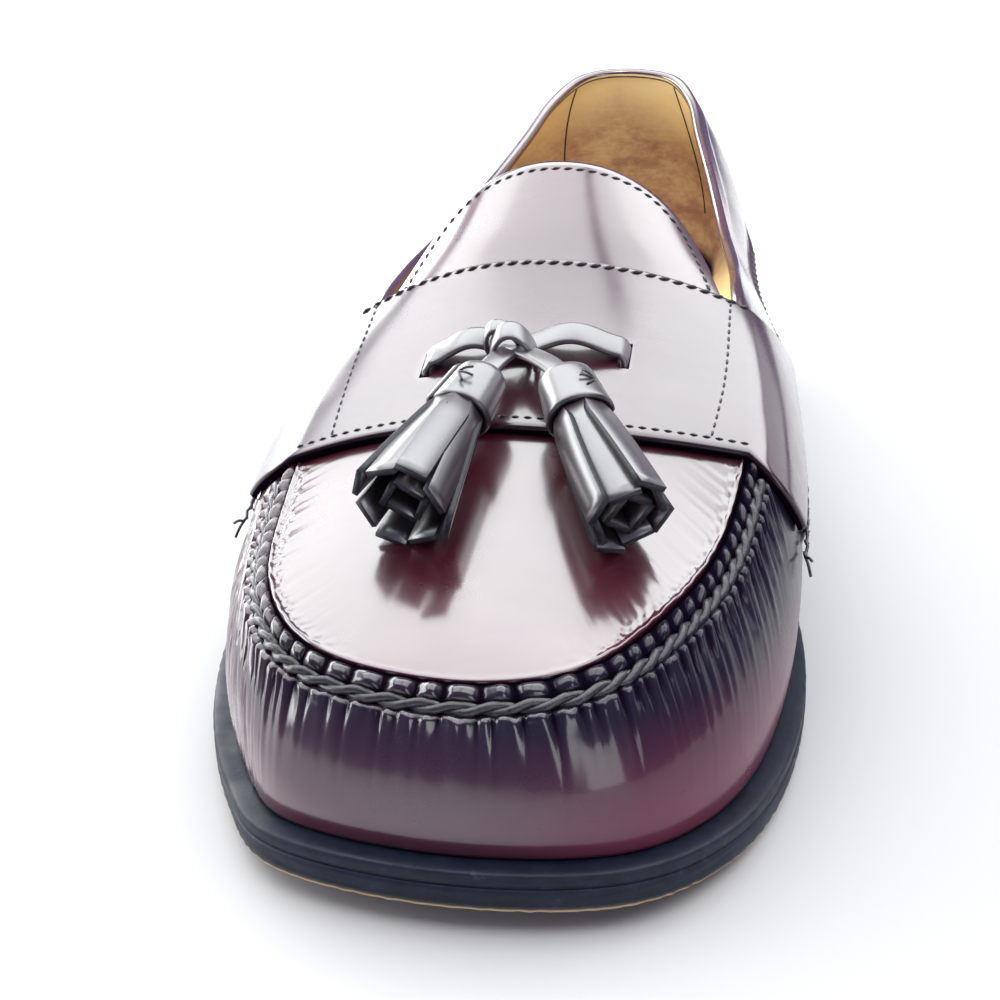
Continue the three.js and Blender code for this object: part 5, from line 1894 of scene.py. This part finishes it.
def make_insole():
    columns = ring_columns([180 * k / 90 for k in range(91)])
    hull = Hull()
    base_inset = TUCK + UPPER_WALL + 2 * GAP
    rows = []
    for inset, height in INSOLE_EDGE:
        rows.append(hull.add_all(sole_ring(
            columns, lambda angle: foot_margin(angle) + base_inset + inset,
            lambda y: foot_bed(y) + height,
        )))
    hull.close_caps(rows)
    wear = [0.75 * smoothstep(abs(point[1] - 20), 20, 90) for point in hull.points]
    add_piece("insole_look", hull.points, hull.faces, [LINING], ["insole"], {"wear": wear})


# Stage and light
LIGHT_COLOUR = (0.965, 1.0, 0.985)


def add_area(name, size, at, target, power):
    data = bpy.data.lights.new(name, "AREA")
    data.shape = "RECTANGLE"
    data.size, data.size_y = size
    data.energy = power
    data.color = LIGHT_COLOUR
    light = bpy.data.objects.new(name, data)
    bpy.context.scene.collection.objects.link(light)
    light.location = at
    light.rotation_euler = (Vector(target) - Vector(at)).to_track_quat("-Z", "Y").to_euler()
    light.visible_camera = False
    return light


# Soft panels round the shoe: name, size, place, what they face, and radiant power in watts.
PANELS = table("name size at facing power", [
    ("ceiling_far", (3.3, 1.1), (0.05, 1.10, 1.5), (0.05, 1.10, 0), 48),
    ("ceiling_near_outer", (1.64, 1.4), (-0.80, -0.15, 1.5), (-0.80, -0.15, 0), 20),
    ("ceiling_near_inner", (1.58, 1.4), (0.89, -0.15, 1.5), (0.89, -0.15, 0), 19.5),
    ("outer_wall", (2.6, 0.75), (-1.25, 0.55, 0.42), (0, 0.15, 0.10), 38),
    ("inner_wall", (1.5, 0.9), (1.5, 1.1, 0.6), (0, 0.05, 0.06), 4),
    ("front_corner", (0.42, 0.55), (0.72, -0.95, 0.30), (0.02, -0.10, 0.03), 1.9),
])
# A weak narrow lamp brightens the lining at the heel.
HEEL_LAMP = ("heel_lamp", (0.15, 0.15), (0, -0.10, 0.45), (0, 0.13, 0.06), 0.02)
HEEL_LAMP_SPREAD = 24
WORLD_COLOUR = (0.60, 0.58, 1.0, 1)
WORLD_STRENGTH = 0.26
FLOOR_HALF = 6.0
FLOOR_DROP = 0.0002


def add_stage():
    mesh = bpy.data.meshes.new("floor")
    corners = [(-1, -1), (1, -1), (1, 1), (-1, 1)]
    mesh.from_pydata([(x * FLOOR_HALF, y * FLOOR_HALF, 0) for x, y in corners], [], [(0, 1, 2, 3)])
    mesh.materials.append(floor_material())
    floor = bpy.data.objects.new("floor", mesh)
    floor.location.z = -FLOOR_DROP
    bpy.context.scene.collection.objects.link(floor)
    world = bpy.data.worlds.new("studio")
    world.use_nodes = True
    background = world.node_tree.nodes["Background"]
    background.inputs["Color"].default_value = WORLD_COLOUR
    background.inputs["Strength"].default_value = WORLD_STRENGTH
    bpy.context.scene.world = world
    lamp = add_area(*HEEL_LAMP)
    lamp.data.spread = math.radians(HEEL_LAMP_SPREAD)
    for panel in PANELS:
        add_area(*panel.values())
    bpy.context.scene.view_settings.view_transform = "Standard"


def build():
    for look in TASSEL_LOOKS:
        make_lace_end(look["name"], make_tassel(look))
    make_lace_bar()
    make_knot()
    make_upper()
    make_apron_thread()
    make_strap()
    make_strap_stitches()
    make_side_thread()
    make_lining_seams()
    make_tongue()
    make_soles()
    make_heel()
    make_insole()
    add_stage()


build()
